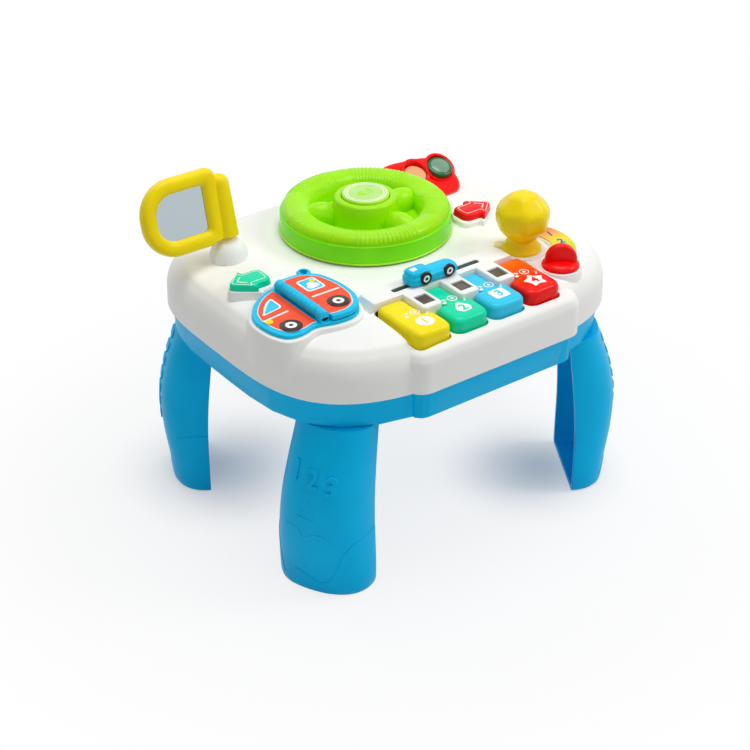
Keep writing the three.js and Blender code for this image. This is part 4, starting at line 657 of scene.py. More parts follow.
def shell():
    rings = [outline(RIM["draw"] * max(d, 0), TABLE["seam"] + RIM["rise"] * r) for d,
             r in curve_through(RIM_SHARES)]
    last = np.array(rings[-1])
    centre = np.array([TABLE["x"], 0, 0])
    for share in RIM["deck_shares"]:
        middle = centre * (1 - share) + [0, 0, TABLE["deck"] + TABLE["crown"] * (1 - share)]
        rings.append([tuple(middle + p * share * [1, 1, 0]) for p in last])
    main = shell_part("shell_deck", rings, nodes=["top_shell"])
    deep, high = KEYS["plunger_low"], PLATEAU["top"] + 3 * WALL
    ahead = -BUMP["front"] - RECESS["ahead"]
    dip = [(RECESS["left"], ahead), (RECESS["right"], ahead), (RECESS["right"], RECESS["back"]),
           (RECESS["left"], RECESS["back"])]
    cutters = [hole_piece(rounded(dip, RECESS["corners"], 4), deep, high)]
    for x, y, way in ARROW_PLACES.values():
        cutters.append(hole_piece(arrow_outline(x, y, way, ARROW["play"]), ARROW["skirt_low"] - WALL,
                                  high))
    cutters.append(rod_piece(WHEEL["shaft"], deep, high, WHEEL))
    cutters.append(rod_piece(GEAR["stem"] + GAP, deep, high, GEAR))
    boolean(main, cutters)
    soften(main, 3 * EDGE, 3)
    rings = [bump_outline(BUMP["draw"] * max(d, 0), TABLE["seam"] + (BUMP["top"] - TABLE["seam"]) * r)
             for d, r in curve_through(BUMP_SHARES)]
    ledge = shell_part("shell_ledge", rings)
    boolean(ledge, [hole_piece(key_outline(i, KEYS["play"], KEYS["swing"]), deep, high)
                    for i in range(KEYS["count"])])
    soften(ledge, 1.5 * EDGE)
    bar()
    deck_trim()


def bar():
    """The raised bar behind the keys, with the car's slot, its painted shade, and the lamps' frames."""
    p, s, w = PLATEAU, SLIDER, WINDOW
    left, right = p["x"] - p["half_width"], p["x"] + p["half_width"]
    front, back, lip = RECESS["back"], p["back"], p["lip"]

    def ring(grow, z):
        corners = [(left - grow, front), (right + grow, front), (right + grow, back + grow),
                   (left - grow, back + grow)]
        return lift(rounded(corners, [lip, lip, p["corner"], p["corner"]]), z)

    rings = [ring(p["slope"], RECESS["ledge"] - WALL), ring(p["slope"], TABLE["deck"])]
    rings += [ring(grow, z) for grow, z in quarter(p["slope"] / 4, p["top"], lip)]
    made = shell_part("shell_bar", rings)

    def slot(draw):
        reach = s["slot"] / 2
        return rectangle(s["left"] + draw, s["right"] - draw, s["y"] - reach + draw,
                         s["y"] + reach - draw, reach)

    low = TABLE["deck"] - WALL
    boolean(made, [hole_piece(slot(0), low, p["top"] + WALL)])
    soften(made, SOFT)
    # Painted shade: a grey-green plate on the slot's floor and a grey-green lining on its walls stand for
    # the shade inside the deep slot.
    decal("slot_shadow", slot(0), low + PRINT, "table", M["slot"], 2 * PRINT)
    high = p["top"] - s["shade_liner_sunk"]
    sides = [*slab(slot(0), low, high), *reversed(slab(slot(GAP), low, high))]
    build("slot_shade_liner", sides, "table", M["slot"], loop=True)
    for i in range(KEYS["count"] - 1):
        x, half = window_x(i), w["width"] / 2
        nearest = w["y"] - w["length"] / 2
        rings = pad_rings(lambda margin: rectangle(
            x - half - margin, x + half + margin, nearest - margin, RECESS["back"] + WALL, w["corner"]),
            RECESS["ledge"] - WALL, p["top"] - w["sunk"], w["bevel"])
        made = shell_part(f"lamp_frame_{i + 1}", rings)
        hx, hy = w["glass_width"] / 2, w["glass_length"] / 2
        boolean(made, [box_piece(x - hx, x + hx, w["y"] - hy, w["y"] + hy, RECESS["ledge"],
                                 p["top"] + WALL)])
        soften(made, EDGE)


def deck_trim():
    deck, w, a, b, g, k, d, m = TABLE["deck"], PLINTH_RING, ARROW, BOOK, GEAR, KNOB, DIAL, MIRROR

    def seat(name, size, profile, sides=96):
        turned(name, profile, size, "table", M["white"], sides, slot="shell_white")

    edge, bore = w["radius"] + WALL, WHEEL["shaft"] + GAP
    seat("wheel_plinth", WHEEL, [(edge, deck - WALL), (edge, deck), (w["radius"], w["top"]),
                                 (bore, w["top"]),
                                 (bore, deck - WALL)])
    for name, (x, y, way) in ARROW_PLACES.items():
        rise = a["plinth_rise"]
        rings = [lift(arrow_outline(x, y, way, a["plinth_grow"] + flare / 2), rise - down)
                 for down, flare in PLINTH_FLARE[2:]]
        rings += pad_rings(lambda margin: arrow_outline(x, y, way, a["plinth_grow"] + margin),
                           rise - WALL, rise,
                           a["bevel"])
        made = shell_part(f"arrow_plinth_{name}", rings)
        cutters = [hole_piece(arrow_outline(x, y, way, a["play"]), a["skirt_low"] - WALL, rise + WALL)]
        if way > 0:
            cutters.append(rod_piece(TRAFFIC["room"] - GAP, w["top"] - WALL / 2, deck + 4 * WALL,
                                     WHEEL, 96))
        boolean(made, cutters)
    top = b["plinth_top"]
    rings = [lift(van_outline(b["plinth_grow"] + flare), top - down) for down, flare in PLINTH_FLARE]
    rings += pad_rings(lambda margin: van_outline(b["plinth_grow"] + margin), top - WALL, top,
                       b["plinth_bevel"])
    shell_part("book_plinth", rings)
    rim, top, bore = g["seat"], g["seat_top"], g["stem"] + GAP
    seat("gear_seat", g, [(rim + WALL / 2, deck - WALL), (rim + WALL / 2, deck - EDGE),
                          (rim + SOFT, top - PRINT),
                          (rim - EDGE, top), (bore, top), (bore, deck - WALL)])
    rim, top, low, bore = k["seat"], k["seat_top"], k["seat_low"], k["stem"] + GAP
    seat("knob_seat", k, [(rim + WALL / 2, low), (rim + SOFT, top - 3 * EDGE), (rim, top - GAP),
                          (rim - 2 * EDGE, top),
                          (bore, top), (bore, low)])
    field = arc_outline(d["inner"] - d["grow"], d["outer"] + d["grow"], d["grow"])
    shell_part("dial_plinth", slab(field, deck - 3 * WALL, d["plinth_top"]))
    seat("mirror_dome", m, [(m["dome"], deck - WALL)] + [
        (m["dome"] * math.cos(t), deck + m["dome_high"] * math.sin(t))
                                                         for t in np.linspace(0, math.pi / 2, 15)], 64)


def tray():
    """A smooth blue band round the tray's faceted wall."""
    low, high, proud = TABLE["low"], TABLE["seam"] - GAP, TABLE["tray_proud"]
    inset, taper = TABLE["tray_inset"], TABLE["tray_taper"]
    foot = low + TABLE["band_lift"]
    for name, ring in (("tray_band", outline), ("tray_front_band", bump_outline)):
        rings = [ring(inset + taper - proud + 1, foot), ring(inset + taper - proud, low + 3 * EDGE),
                 ring(inset - proud, high), ring(inset + 2, high), ring(inset + taper + 2, foot)]
        build(name, rings, "table", M["blue"], loop=True, slot="body_blue")


# Legs


def leg_ring(half, deep, lean, z, backward, slew, steps=40):
    ring = []
    for i in range(steps + 1):
        c, s = leg_round(math.pi * i / steps)
        ring.append((slew + half * c, deep * s - lean, z))
    return ring + [(slew - half, -lean - backward, z), (slew + half, -lean - backward, z)]


def leg_round(angle):
    """A squared circle's way at an angle, as the legs have it."""
    c, s, power = math.cos(angle), math.sin(angle), 2 / LEGS["power"]
    return math.copysign(abs(c) ** power, c), abs(s) ** power


def leg(name, x, y, turn, hand):
    size, shares = LEGS, curve_through(LEG_SHARES)

    def rings(skin, low, high, backward):
        return [leg_ring(size["half_chord"] * chord - skin, size["deep"] * deep - skin,
                         size["lean"] * lean,
                         low + (high - low) * up, backward, hand * size["slew"] * lean)
                for up, chord, deep, lean in shares]

    made = build(f"leg_skin_{name}", rings(0, 0, size["high"], WALL / 4), None, M["blue"], smooth=30)
    hollow = rings(size["skin"], size["sole"], size["high"] - size["plate"], size["open"])
    boolean(made, [build("hollow", hollow, None, M["blue"])], smooth=30)
    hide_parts(f"leg_{name}")
    pieces = [made, foot_band(name, hand)]
    pieces += leg_numbers(hand) if name in ("front_left", "back_right") else leg_treads(name, hand)
    for piece in pieces:
        belong(set_down(piece, x, y, turn=turn - 90), "table")


def leg_sizes(z, hand):
    shares = np.array(curve_through(LEG_SHARES))
    chord, deep, lean = (np.interp(z / LEGS["high"], shares[:, 0], shares[:, i]) for i in (1, 2, 3))
    size = LEGS
    return size["half_chord"] * chord, size["deep"] * deep, size["lean"] * lean, hand * size["slew"] * lean


def on_leg(across, z, proud, hand):
    """A point on a leg's outer face, from how far across it and how high up it is."""
    half, deep, lean, slew = leg_sizes(z, hand)
    share = min(abs(across) / half, LEGS["widest"])
    return slew - across, (deep * (1 - share ** LEGS["power"]) ** (1 / LEGS["power"])) - lean + proud, z


def foot_band(name, hand):
    """The foot's second skin, with its wavy upper edge."""
    columns, rows = FOOT["columns"], FOOT["rows"]
    points = []
    for i in range(columns + 1):
        c, s = leg_round(math.pi * i / columns)
        top = float(np.interp((1 - c) / 2, *FOOT_WAVE))
        for j in range(rows + 2):
            z, proud = top * j / rows, FOOT["proud"]
            if j > rows:
                z, proud = top + proud / 2, -proud
            half, deep, lean, slew = leg_sizes(z, hand)
            points.append(metres([slew + (half + proud) * c, (deep + proud) * s - lean, z]))
    tall = rows + 2
    faces = [(i * tall + j, (i + 1) * tall + j, (i + 1) * tall + j + 1, i * tall + j + 1)
             for i in range(columns) for j in range(tall - 1)]
    return finish_mesh(f"foot_band_{name}", points, faces, None, M["blue"], 40)


def leg_numbers(hand):
    """Plain numbers, a triangle and two arcs, standing low on the leg's face."""
    made = []
    for number, (across, z) in enumerate(LEG_NUMBERS["places"], 1):
        flat = lettering(f"leg_number_{number}_{hand + 1}", str(number), LEG_NUMBERS["size"], 0, 0, 0,
                         None, M["blue"],
                         thick=LEG_NUMBERS["thick"])
        flat.data.transform(home())
        for vertex in flat.data.vertices:
            u, v, n = vertex.co / MM
            vertex.co = Vector(metres(on_leg(across + u, z + v, n, hand)))
        made.append(flat)
    motifs = [(LEG_TRIANGLE, True)]
    for x, z, wide, high, start, end, count in LEG_ARCS:
        turns = np.linspace(start, end, count)
        motifs.append(([(x + wide * math.cos(a), z + high * math.sin(a)) for a in turns], False))
    for number, (path, closed) in enumerate(motifs, 1):
        made.append(ribbon(f"leg_motif_{number}_{hand + 1}", path, LEG_NUMBERS["ridge"],
                           LEG_NUMBERS["proud"],
                           lambda u, v, rise: on_leg(u, v, rise, hand), None, M["blue"], closed))
    return made


def leg_treads(name, hand):
    """A row of short blocks up the leg's ridge."""
    made = []
    for number, z in enumerate(range(TREADS["first"], TREADS["end"], TREADS["step"]), 1):
        half, top = TREADS["half"], z + TREADS["high"]
        rings = [[on_leg(u, v, rise, hand) for u, v in (
            (draw - half, z + draw), (half - draw, z + draw), (half - draw, top - draw),
                                                        (draw - half, top - draw))]
            for rise, draw in TREADS["rings"]]
        made.append(build(f"leg_tread_{name}_{number}", rings, None, M["blue"]))
    return made


def legs():
    x, front, back, turn = LEGS["x"], LEGS["front"], LEGS["back"], LEGS["turn"]
    middle = TABLE["x"]
    leg("front_left", middle - x, front, 180 + turn, -1)
    leg("front_right", middle + x, front, -turn, 1)
    leg("back_left", middle - x, back, 180 - turn, 1)
    leg("back_right", middle + x, back, turn, -1)


# Wheel


def wheel():
    w, s, h = WHEEL, SKIRT, HORN

    def on_ring(shares):
        wide, high = w["outer"] - w["inner"], w["top"] - w["low"]
        return [(w["inner"] + wide * a, w["low"] + high * u) for a, u in shares]

    def green(name, profile, kind, **rest):
        turned(name, profile, w, "wheel", M[kind], **rest)

    over = [tuple(p) for p in curve_through(on_ring(RING_OVER))]
    floor = w["low"] + w["floor"]
    profile = [(w["inner"] + w["skin"], w["low"]), *on_ring(RING_UNDER), *over, (w["inner"], floor),
               (w["stem_bore"], floor), (w["stem_bore"], w["low"])]
    green("wheel_ring", profile, "green", sides=128, loop=True, nodes=["wheel_rim"], slot="wheel_green")
    hub = [(w["hub"] + w["skin"], floor),
           (w["hub"] + w["skin"] * w["hub_share"], (floor + w["well_low"]) / 2),
           (w["hub"] + EDGE, w["hub_top"] - 10 * EDGE),
           *quarter(w["hub"], w["hub_top"], w["hub_round"], 7),
           (w["well"] + EDGE, w["hub_top"]), (w["well"], w["hub_top"] - EDGE),
           (w["well"], w["well_low"])]
    green("wheel_hub", hub, "green", slot="wheel_green")
    steep = math.pi / 2 - w["spoke_tip"]
    for number, degrees in enumerate(SPOKE_ANGLES, 1):
        rings = []
        for t in np.linspace(-steep, steep, 20):
            z = w["spoke_z"] + w["high"] * math.sin(t)
            if z >= w["low"]:
                rings.append([(w["reach"] + w["long"] * math.cos(t) * math.cos(a),
                               w["wide"] * math.cos(t) * math.sin(a), z) for a in about(48)])
        made = build(f"wheel_spoke_{number}", rings, None, M["green"])
        belong(set_down(made, w["x"], w["y"], turn=degrees), "wheel")
    inside, low, high, out = w["outer"] - EDGE, s["low"], s["low"] + s["thick"], s["outer"]
    profile = [(inside, high), (out + EDGE / 4, high), (out, low + 2.6 * s["thick"]),
               (out, s["top"] - 1.5 * EDGE),
               (out - SOFT, s["top"]), (inside, s["top"])]
    green("wheel_skirt_ring", profile, "skirt", sides=128, loop=True, nodes=["wheel_skirt"],
          slot="skirt_green")
    edge = s["flange"]
    profile = [(inside, low), (edge - GAP, low), (edge, low + EDGE), (edge, high - EDGE),
               (edge - EDGE, high),
               (inside, high)]
    green("wheel_flange", profile, "skirt_edge", sides=128, loop=True, slot="skirt_green")
    wheel_ribs(over)
    cap = [(h["stem"], h["low"] - h["stem_long"]), (h["stem"], h["low"]), (h["radius"], h["low"]),
           *quarter(h["radius"], h["top"], h["bevel"])]
    turned("horn_cap", cap, w, "horn", M["pale_green"], nodes=["horn_button"], slot="wheel_green")
    horn_print()


def wheel_ribs(over):
    """Groups of short low ribs across the wheel's crown."""
    w, r = WHEEL, RIBS
    middle = (w["inner"] + w["outer"]) / 2
    crown = [p for p in over if p[1] > w["top"] - r["reach"]]
    for number, (start, end) in enumerate(RIB_GROUPS, 1):
        points, faces = [], []
        for degrees in np.arange(start, end, r["step"]):
            faces += strip(len(points), len(crown))
            for k, (radius, z) in enumerate(crown):
                outward = np.array([radius - middle, z - (w["top"] - r["middle"])])
                outward = outward / np.linalg.norm(outward)
                for share, rise in r["across"]:
                    rise = r["sunk"] if k in (0, len(crown) - 1) else rise
                    turn = math.radians(degrees) + share / radius
                    place = polar(radius + outward[0] * rise, w["x"], w["y"], turn)
                    points.append(metres([*place, z + outward[1] * rise]))
        finish_mesh(f"wheel_ribs_{number}", points, faces, "wheel", M["green"], 60)


def flat_ring(name, outer, inner, z, x, y, body, sides, high=PRINT):
    profile = [(inner, z), (outer, z), (outer, z + high), (inner, z + high)]
    build(name, turned_rings(profile, x, y, sides), body, M["ink"], loop=True)


def horn_print():
    """White rings round a small speaker sign on the horn's cap."""
    x, y, z, v = WHEEL["x"], WHEEL["y"], HORN["top"], HORN_WAVES
    decal("horn_face", disc(HORN["face"], x, y, 56), z, "horn", M["horn_face"], PRINT / 2)
    for number, (outer, inner) in enumerate(HORN_RINGS, 1):
        flat_ring(f"horn_ring_{number}", outer, inner, z, x, y, "horn", 72)
    x -= v["left"]
    decal("horn_sign", rounded([(x + a, y + b) for a, b in HORN_SIGN], SOFT, 2), z, "horn", M["green"])
    for number, radius in enumerate(v["radii"], 1):
        turns = np.radians(np.linspace(-v["turn"], v["turn"], 14))
        arc = [polar(radius, x + v["ahead"], y, a) for a in turns]
        arc += [polar(radius - v["wide"], x + v["ahead"], y, a) for a in reversed(turns)]
        decal(f"horn_wave_{number}", arc, z, "horn", M["green"])


# Mirror


def d_outline(margin):
    m = MIRROR
    left, right, low, high = -m["width"] + margin, -margin, margin, m["high"] - margin
    square, wide = max(m["square"] - margin / 2, 1.5 * WALL), m["round"] - margin
    return cornered([(right - square, low + square, square, -90),
                     (right - square, high - square, square, 0),
                     (left + wide, high - wide, wide, 90), (left + wide, low + wide, wide, 180)], 14)


def mirror():
    m = MIRROR
    section = []
    for a in about(28):
        across, deep = (math.copysign(abs(q) ** m["power"], q) for q in (math.cos(a), math.sin(a)))
        section.append((m["band"] / 2 * (1 - across), m["thick"] / 2 * deep))
    ring = build("mirror_ring", [lift(d_outline(margin), depth) for margin, depth in section], None,
                 M["yellow"],
                 loop=True)
    wide, top, low = m["barrel"], m["barrel_long"], m["barrel_low"]
    barrel = [(wide * share, low + up) for share, up in m["foot"]] + [(wide, top - wide)]
    barrel += [(wide * math.cos(t), top - wide + wide * math.sin(t))
               for t in np.linspace(m["start"], math.pi / 2, 12)]
    tube = build("mirror_barrel", turned_rings(barrel, 0, 0, 56), None, M["yellow"])
    place = spot(m["x"], m["y"], TABLE["deck"] + m["dome_high"]) @ turn_matrix(-m["lean"], "X")
    stand = Matrix.Translation(Vector((-m["barrel"] / 2, 0, -m["drop"])) * MM) @ turn_matrix(90, "X")
    ring.data.transform(place @ stand @ home())
    sump = build("sump", turned_rings([(m["dome"], -m["dome_high"]), (m["dome"], low)], 0, 0, 48),
                 None, M["yellow"])
    for piece in (tube, sump):
        piece.data.transform(place @ home())
    boolean(ring, [sump])
    belong(ring, "mirror")
    belong(tube, "mirror")
    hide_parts("mirror_frame")


# Buttons, keys and prints


def arrow_outline(x, y, way, grow):
    a = ARROW
    half, head = a["length"] / 2 + grow, a["length"] / 2 - a["length"] * a["head_share"] - grow
    wide, tail = a["head_wide"] / 2 + grow, a["tail_wide"] / 2 + grow
    points = [(half, 0), (head, wide), (head, tail), (-half, tail), (-half, -tail), (head, -tail),
              (head, -wide)]
    placed = [(x + way * along, y + across) for along, across in points]
    if way > 0:
        placed.reverse()
    return rounded(placed, a["round"] + grow)


def arrow_buttons():
    a = ARROW
    top = a["plinth_rise"] + a["rise"]
    for (name, (x, y, way)), colour in zip(ARROW_PLACES.items(), ("teal", "red")):
        body = f"arrow_button_{name}"
        rings = pad_rings(lambda margin: arrow_outline(x, y, way, margin), a["low"], top,
                          a["cap_bevel"])
        build(f"arrow_cap_{name}", rings, body, M[colour], nodes=[f"arrow_{name}"], slot=colour)
        line = [(p[0], p[1]) for p in arrow_outline(x, y, way, -a["line_inset"])]
        mark = [(x + way * along, y + across) for along, across in ARROW_MARK]
        for part, path, width in (("line", line, a["line"]), ("mark", mark, a["mark"])):
            ribbon(f"arrow_{part}_{name}", path, width, a["line_proud"], lambda u, v,
                   rise: (u, v, top + rise), body,
                   M["ink"], part == "line")


def music_note(name, x, y, z, size, body):
    shapes = dict(head=disc(size * NOTE["head"], x, y, 16, NOTE["squash"]))
    shapes |= {part: [(x + size * a, y + size * b) for a, b in NOTE[part]] for part in ("stem", "flag")}
    for part, points in shapes.items():
        decal(f"{name}_{part}", points, z, body, M["ink"], PRINT)


def key_caps():
    k, z = KEY_PRINTS, KEYS["top"]
    for i, (colour, slot) in enumerate(KEY_LOOKS):
        body, number = f"piano_key_{i + 1}", i + 1
        rings = pad_rings(lambda margin: key_outline(i, margin), KEYS["low"], z, KEYS["bevel"], steps=7)
        build(f"key_cap_{number}", rings, body, M[colour], nodes=[f"key_{number}"], slot=slot)
        x, y, half = key_x(i) + 1, KEYS["front"] + k["ahead"], k["half"]
        drop = rounded([(x + a, y + b) for a, b in KEY_DROP], 5)
        square = rectangle(x - half, x + half, y - half + SOFT, y + half - SOFT, 3)
        shapes = [disc(k["patch"], x, y), drop, square, star(*k["star"], x, y)]
        decal(f"key_patch_{number}", shapes[i], z, body, M["ink"], PRINT)
        lettering(f"key_number_{number}", str(number), k["number"], x, y - (shapes[i] is drop),
                  z + PRINT, body,
                  M[colour], thick=k["thick"])
        rx, ry = x + k["ring_x"], y + k["ring_y"]
        flat_ring(f"key_ring_{number}", k["ring"] + k["ring_wide"], k["ring"], z, rx, ry, body, 32)
        decal(f"key_dot_{number}", disc(k["dot"], rx, ry, 20), z, body, M["ink"], PRINT)
        for name, across, along, size in KEY_NOTES:
            music_note(f"key_{name}_{number}", x + across, y + along, z, size, body)


# Book


def van_outline(grow):
    b = BOOK
    wide, deep = b["half_width"] + grow, b["half_depth"] + grow
    points = [(b["x"] + x * wide, b["y"] + y * deep) for x, y in VAN_SHARES]
    return rounded(points, b["corner"], 5)


def clipped(points, left=-math.inf, right=math.inf):
    """The part of an outline between two lines across X."""
    out = []
    for i, p in enumerate(points):
        q = points[(i + 1) % len(points)]
        inside_p, inside_q = left <= p[0] <= right, left <= q[0] <= right
        if inside_p:
            out.append((p[0], p[1]))
        if inside_p != inside_q:
            edge = left if (min(p[0], q[0]) < left) else right
            t = (edge - p[0]) / (q[0] - p[0])
            out.append((edge, p[1] + t * (q[1] - p[1])))
    return out


def sky_part(name, rings, body="table", **rest):
    return build(name, rings, body, M["sky"], slot="sky_blue", **rest)


def book():
    b, hole = BOOK, BOOK["ear_hole"]
    sky_part("book_tray", pad_rings(van_outline, b["base_low"], b["base_top"], 1), nodes=["book_base"])
    for name, body, radius, low, top in (("book_ear", "table", b["ear_radius"], b["base_low"],
                                          b["base_top"]),
                                         ("page_ear", "page", b["ear_radius"] - EDGE, b["page_low"],
                                          b["page_top"])):
        profile = [(radius, low), (radius, top - 1), (radius - 1, top), (hole, top), (hole, low)]
        sky_part(name, turned_rings(profile, b["x"] + b["ear_x"], b["y"] + b["ear_y"], 40), body,
                 loop=True)
    leaf = clipped(van_outline(-SOFT), left=b["page_x"])
    middle = np.mean(leaf, axis=0)

    def leaf_at(margin):
        return [tuple(middle + (np.array(p) - middle) * (1 + margin / b["half_depth"])) for p in leaf]

    sky_part("page_leaf", pad_rings(leaf_at, b["page_low"], b["page_top"], 1), "page",
             nodes=["flip_page"])
    spine(b)
    book_prints(b)


def spine(b):
    x, y, z, radius = b["spine_x"], b["y"], b["spine_z"], b["spine_radius"]

    def barrel(name, grow, front, back, body):
        soft = min(2 * EDGE, (back - front) / 4)
        wide = radius + grow
        profile = [(wide - soft, front), (wide, front + soft), (wide, back - soft), (wide - soft, back)]
        rings = [[(x + r * math.cos(a), at, z + r * math.sin(a)) for a in about(40)] for r,
                 at in profile]
        build(name, rings, body, M["sky"])

    for number, side in enumerate((-1, 1), 1):
        ends = sorted((y + side * b["spine_half"], y + side * (b["spine_half"] - b["knuckle"])))
        barrel(f"spine_end_{number}", 0, *ends, "table")
        box = rectangle(x - b["foot_half"], x + b["foot_half"], *ends, 1)
        sky_part(f"spine_foot_{number}", slab(box, b["base_low"] + GAP, z - 1))
    reach = b["spine_half"] - b["knuckle"] - GAP
    front, back, far = y - reach, y + reach, b["page_x"] + WALL
    barrel("page_barrel", 0, front, back, "page")
    bridge = [(x, front), (far, front), (far, back), (x, back)]
    sky_part("page_bridge", slab(bridge, b["page_low"], b["page_top"]), "page")
    for number, at in enumerate(np.linspace(front + b["rib_from"], back - b["rib_from"], b["ribs"]), 1):
        barrel(f"spine_rib_{number}", b["rib_proud"], at - b["rib_half"], at + b["rib_half"], "page")


def book_prints(b):
    """A plain little bus: red card, windows and two road wheels, with no face on it."""
    halves = (("left", "table", b["base_top"], "book_card", dict(right=b["spine_x"] - b["inset"]),
               dict(right=b["spine_x"] - b["inset"] + EDGE)),
              ("right", "page", b["page_top"], "page_card", dict(left=b["page_x"] + GAP),
               dict(left=b["page_x"])))
    for side, body, z, card, cut, _ in halves:
        half = clipped(van_outline(-b["inset"]), **cut)
        build(f"card_{side}", slab(half, z, z + CARD), body, M["card"], nodes=[card], slot="card_print")
    for side, body, z, _, _, cut in halves:
        edge = clipped(van_outline(-b["inset"] + CARD), **cut)
        build(f"card_edge_{side}", slab(edge, z - PRINT / 2, z + SOFT), body, M["ink"])
    front, back = b["base_top"] + CARD, b["page_top"] + CARD

    def corners(points, radius, steps):
        return rounded([(b["x"] + x, b["y"] + y) for x, y in points], radius, steps)

    def box(sides, radius):
        left, right, near, far = sides
        return rectangle(b["x"] + left, b["x"] + right, b["y"] + near, b["y"] + far, radius)

    def dot(radius, x, y, sides=24, squash=1.0):
        return disc(radius, b["x"] + x, b["y"] + y, sides, squash)

    prints = [("window_left", corners(BUS["window"], 4, 4), front, "table", "ink", 0.15),
              ("pane_left", corners(BUS["pane"], 3, 4), front + 0.15, "table", "pale_blue", 0.1),
              ("lamp_left", dot(*BUS["lamp"], 40), front, "table", "key_yellow", PRINT),
              ("window_right", box(BUS["back_window"], 3.5), back, "page", "ink", 0.15),
              ("pane_right", box(BUS["back_pane"], 2.5), back + 0.15, "page", "pale_blue", 0.1)]
    prints += [(f"cloud_{i + 1}", dot(*puff, 24, 0.85), back + 0.25, "page", "ink", 0.08 + 0.03 * i)
               for i, puff in enumerate(BUS["cloud"])]
    prints.append(("sun", dot(*BUS["sun"]), back + 0.25, "page", "key_yellow", 0.08))
    for name, points, z, body, colour, thick in prints:
        decal(f"print_{name}", points, z, body, M[colour], thick)
    halves = (("left", "front_wheel", "stripe", front, "table"),
              ("right", "back_wheel", "back_stripe", back, "page"))
    for side, wheel_place, _, z, body in halves:
        x, y = BUS[wheel_place]
        road_wheel(f"print_wheel_{side}", b["x"] + x, b["y"] + y, BUS["wheel"], z, body)
    for side, _, stripe, z, body in halves:
        decal(f"print_stripe_{side}", corners(BUS[stripe], 2 * EDGE, 2), z, body, M["ink"], 0.12)


def road_wheel(name, x, y, radius, z, body):
    top = z + TYRE["high"]
    profile = [(radius, z), (radius, z + EDGE), (radius - 1.5 * EDGE, top)]
    build(f"{name}_tyre", turned_rings(profile, x, y, 48), body, M["tyre"])
    outer, inner = radius * TYRE["rim"], radius * TYRE["hub"]
    profile = [(outer, top), (outer, top + TYRE["thick"]), (inner, top + TYRE["thick"]), (inner, top)]
    build(f"{name}_rim", turned_rings(profile, x, y, 40), body, M["ink"], loop=True)


# Lamps, car, lever and knob


def traffic():
    t, h = TRAFFIC, HOOD
    place = spot(t["x"], t["y"], t["z"]) @ turn_matrix(t["tilt"], "X") @ home()

    def tilted(name, rings, material=M["red"], **rest):
        made = build(name, rings, None, material, **rest)
        made.data.transform(place)
        return made

    def shape(margin):
        out = []
        for x, y in TRAFFIC_OUTLINE:
            length = math.hypot(x, y)
            out.append((x * (length + margin) / length, y * (length + margin) / length))
        return rounded(out, t["corner"])

    panel = tilted("traffic_bar", pad_rings(shape, -t["thick"], 0, t["bevel"], steps=6))
    cutters, hoods = [], []
    for name, (x, y, radius, high) in LENSES.items():
        bore = radius + GAP
        cutters.append(tilted("socket",
                              turned_rings([(bore, h["socket"]), (bore, t["thick"])], x, y, 64)))
        outer, inner = ([(*polar(r, x, y, a),
                          h["low"] + h["rise"] * (0.5 + 0.5 * math.sin(a)) ** h["power"])
                         for a in about(64)] for r in (bore + h["wall"], bore))
        share = h["lip_share"]
        lip = [(x + (p[0] - x) * share, y + (p[1] - y) * share, p[2] + h["lip"]) for p in outer]
        rings = [lift(outer, h["foot"]), outer, lip, inner, lift(inner, h["foot"])]
        hoods.append(tilted(f"traffic_hood_{name}", rings, loop=True))
        round_wide, round_high = t["lens_round"]
        top = high - round_high
        lens = [(radius, t["lens_low"]), (radius, top)]
        lens += [(radius - round_wide * (1 - math.cos(a)), top + round_high * math.sin(a))
                 for a in np.linspace(t["lens_start"], math.pi / 2, 6)]
        made = tilted(f"lens_{name}", turned_rings(lens, x, y, 64), M[f"lens_{name}"])
        if name == "green":
            face = [(radius * share, high + up) for share, up in t["face"]]
            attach(tilted("lens_green_face", turned_rings(face, x, y, 64), M["lens_green_face"]),
                    "table")
        belong(made, "table", [f"traffic_lens_{name}"])
    reach, low, top = t["reach"], t["under"], t["over"]
    cutters.append(box_piece(t["x"] - reach, t["x"] + reach, t["y"] - reach, t["y"] + reach, low,
                             t["plinth_top"] + GAP))
    cutters.append(rod_piece(t["room"], low, top, WHEEL, 128))
    boolean(panel, cutters)
    soften(panel, 1, 3)
    for hood in hoods:
        boolean(hood, [rod_piece(t["room"], low, top, WHEEL, 128)])
        belong(hood, "table")
    belong(panel, "table", ["traffic_housing"])


def car():
    s = SLIDER
    x, y, side = s["x"], s["y"], s["wide"] / 2

    def body_at(margin, left=-s["length"] / 2, right=s["length"] / 2, half=side, corner=s["corner"]):
        return rectangle(x + left - margin, x + right + margin, y - half - margin, y + half + margin,
                         corner)

    def cab_at(margin):
        return body_at(margin, s["cab_from"], s["cab_to"], side - s["cab_draw"], s["cab_corner"])

    sky_part("car_body", pad_rings(body_at, s["low"], s["body_top"], s["bevel"], True), "car",
             nodes=["slide_car"])
    sky_part("car_cab", pad_rings(cab_at, s["body_top"] - 5, s["cab_top"], s["cab_bevel"]), "car")
    stem = body_at(0, -s["stem"], s["stem"], s["half_stem"], SOFT)
    sky_part("car_stem", slab(stem, s["stem_low"], s["low"] + 1), "car")
    near, far, front, back = s["windscreen"]
    glass = [(x + s["cab_from"] + a, y + b) for a,
             b in ((near, front), (far, front), (far, back), (near, back))]
    decal("car_roof_window", rounded(glass, 1, 3), s["cab_top"], "car", M["ink"], 0.12)
    for number, along in enumerate(s["wheels"], 1):
        side_wheel(f"car_wheel_{number}", x + along, y - side - s["wheel_proud"], s["wheel_z"],
                   s["wheel"])


def side_wheel(name, x, y, z, radius):
    for part, share, near, material in SIDE_WHEEL:
        r = radius * share
        rings = [[(x + q * math.cos(a), y + near - deep, z + q * math.sin(a)) for a in about(32)]
                 for q, deep in ((r, -6 * EDGE), (r, -GAP), (r - GAP, 0))]
        build(f"{name}_{part}", rings, "car", M[material])


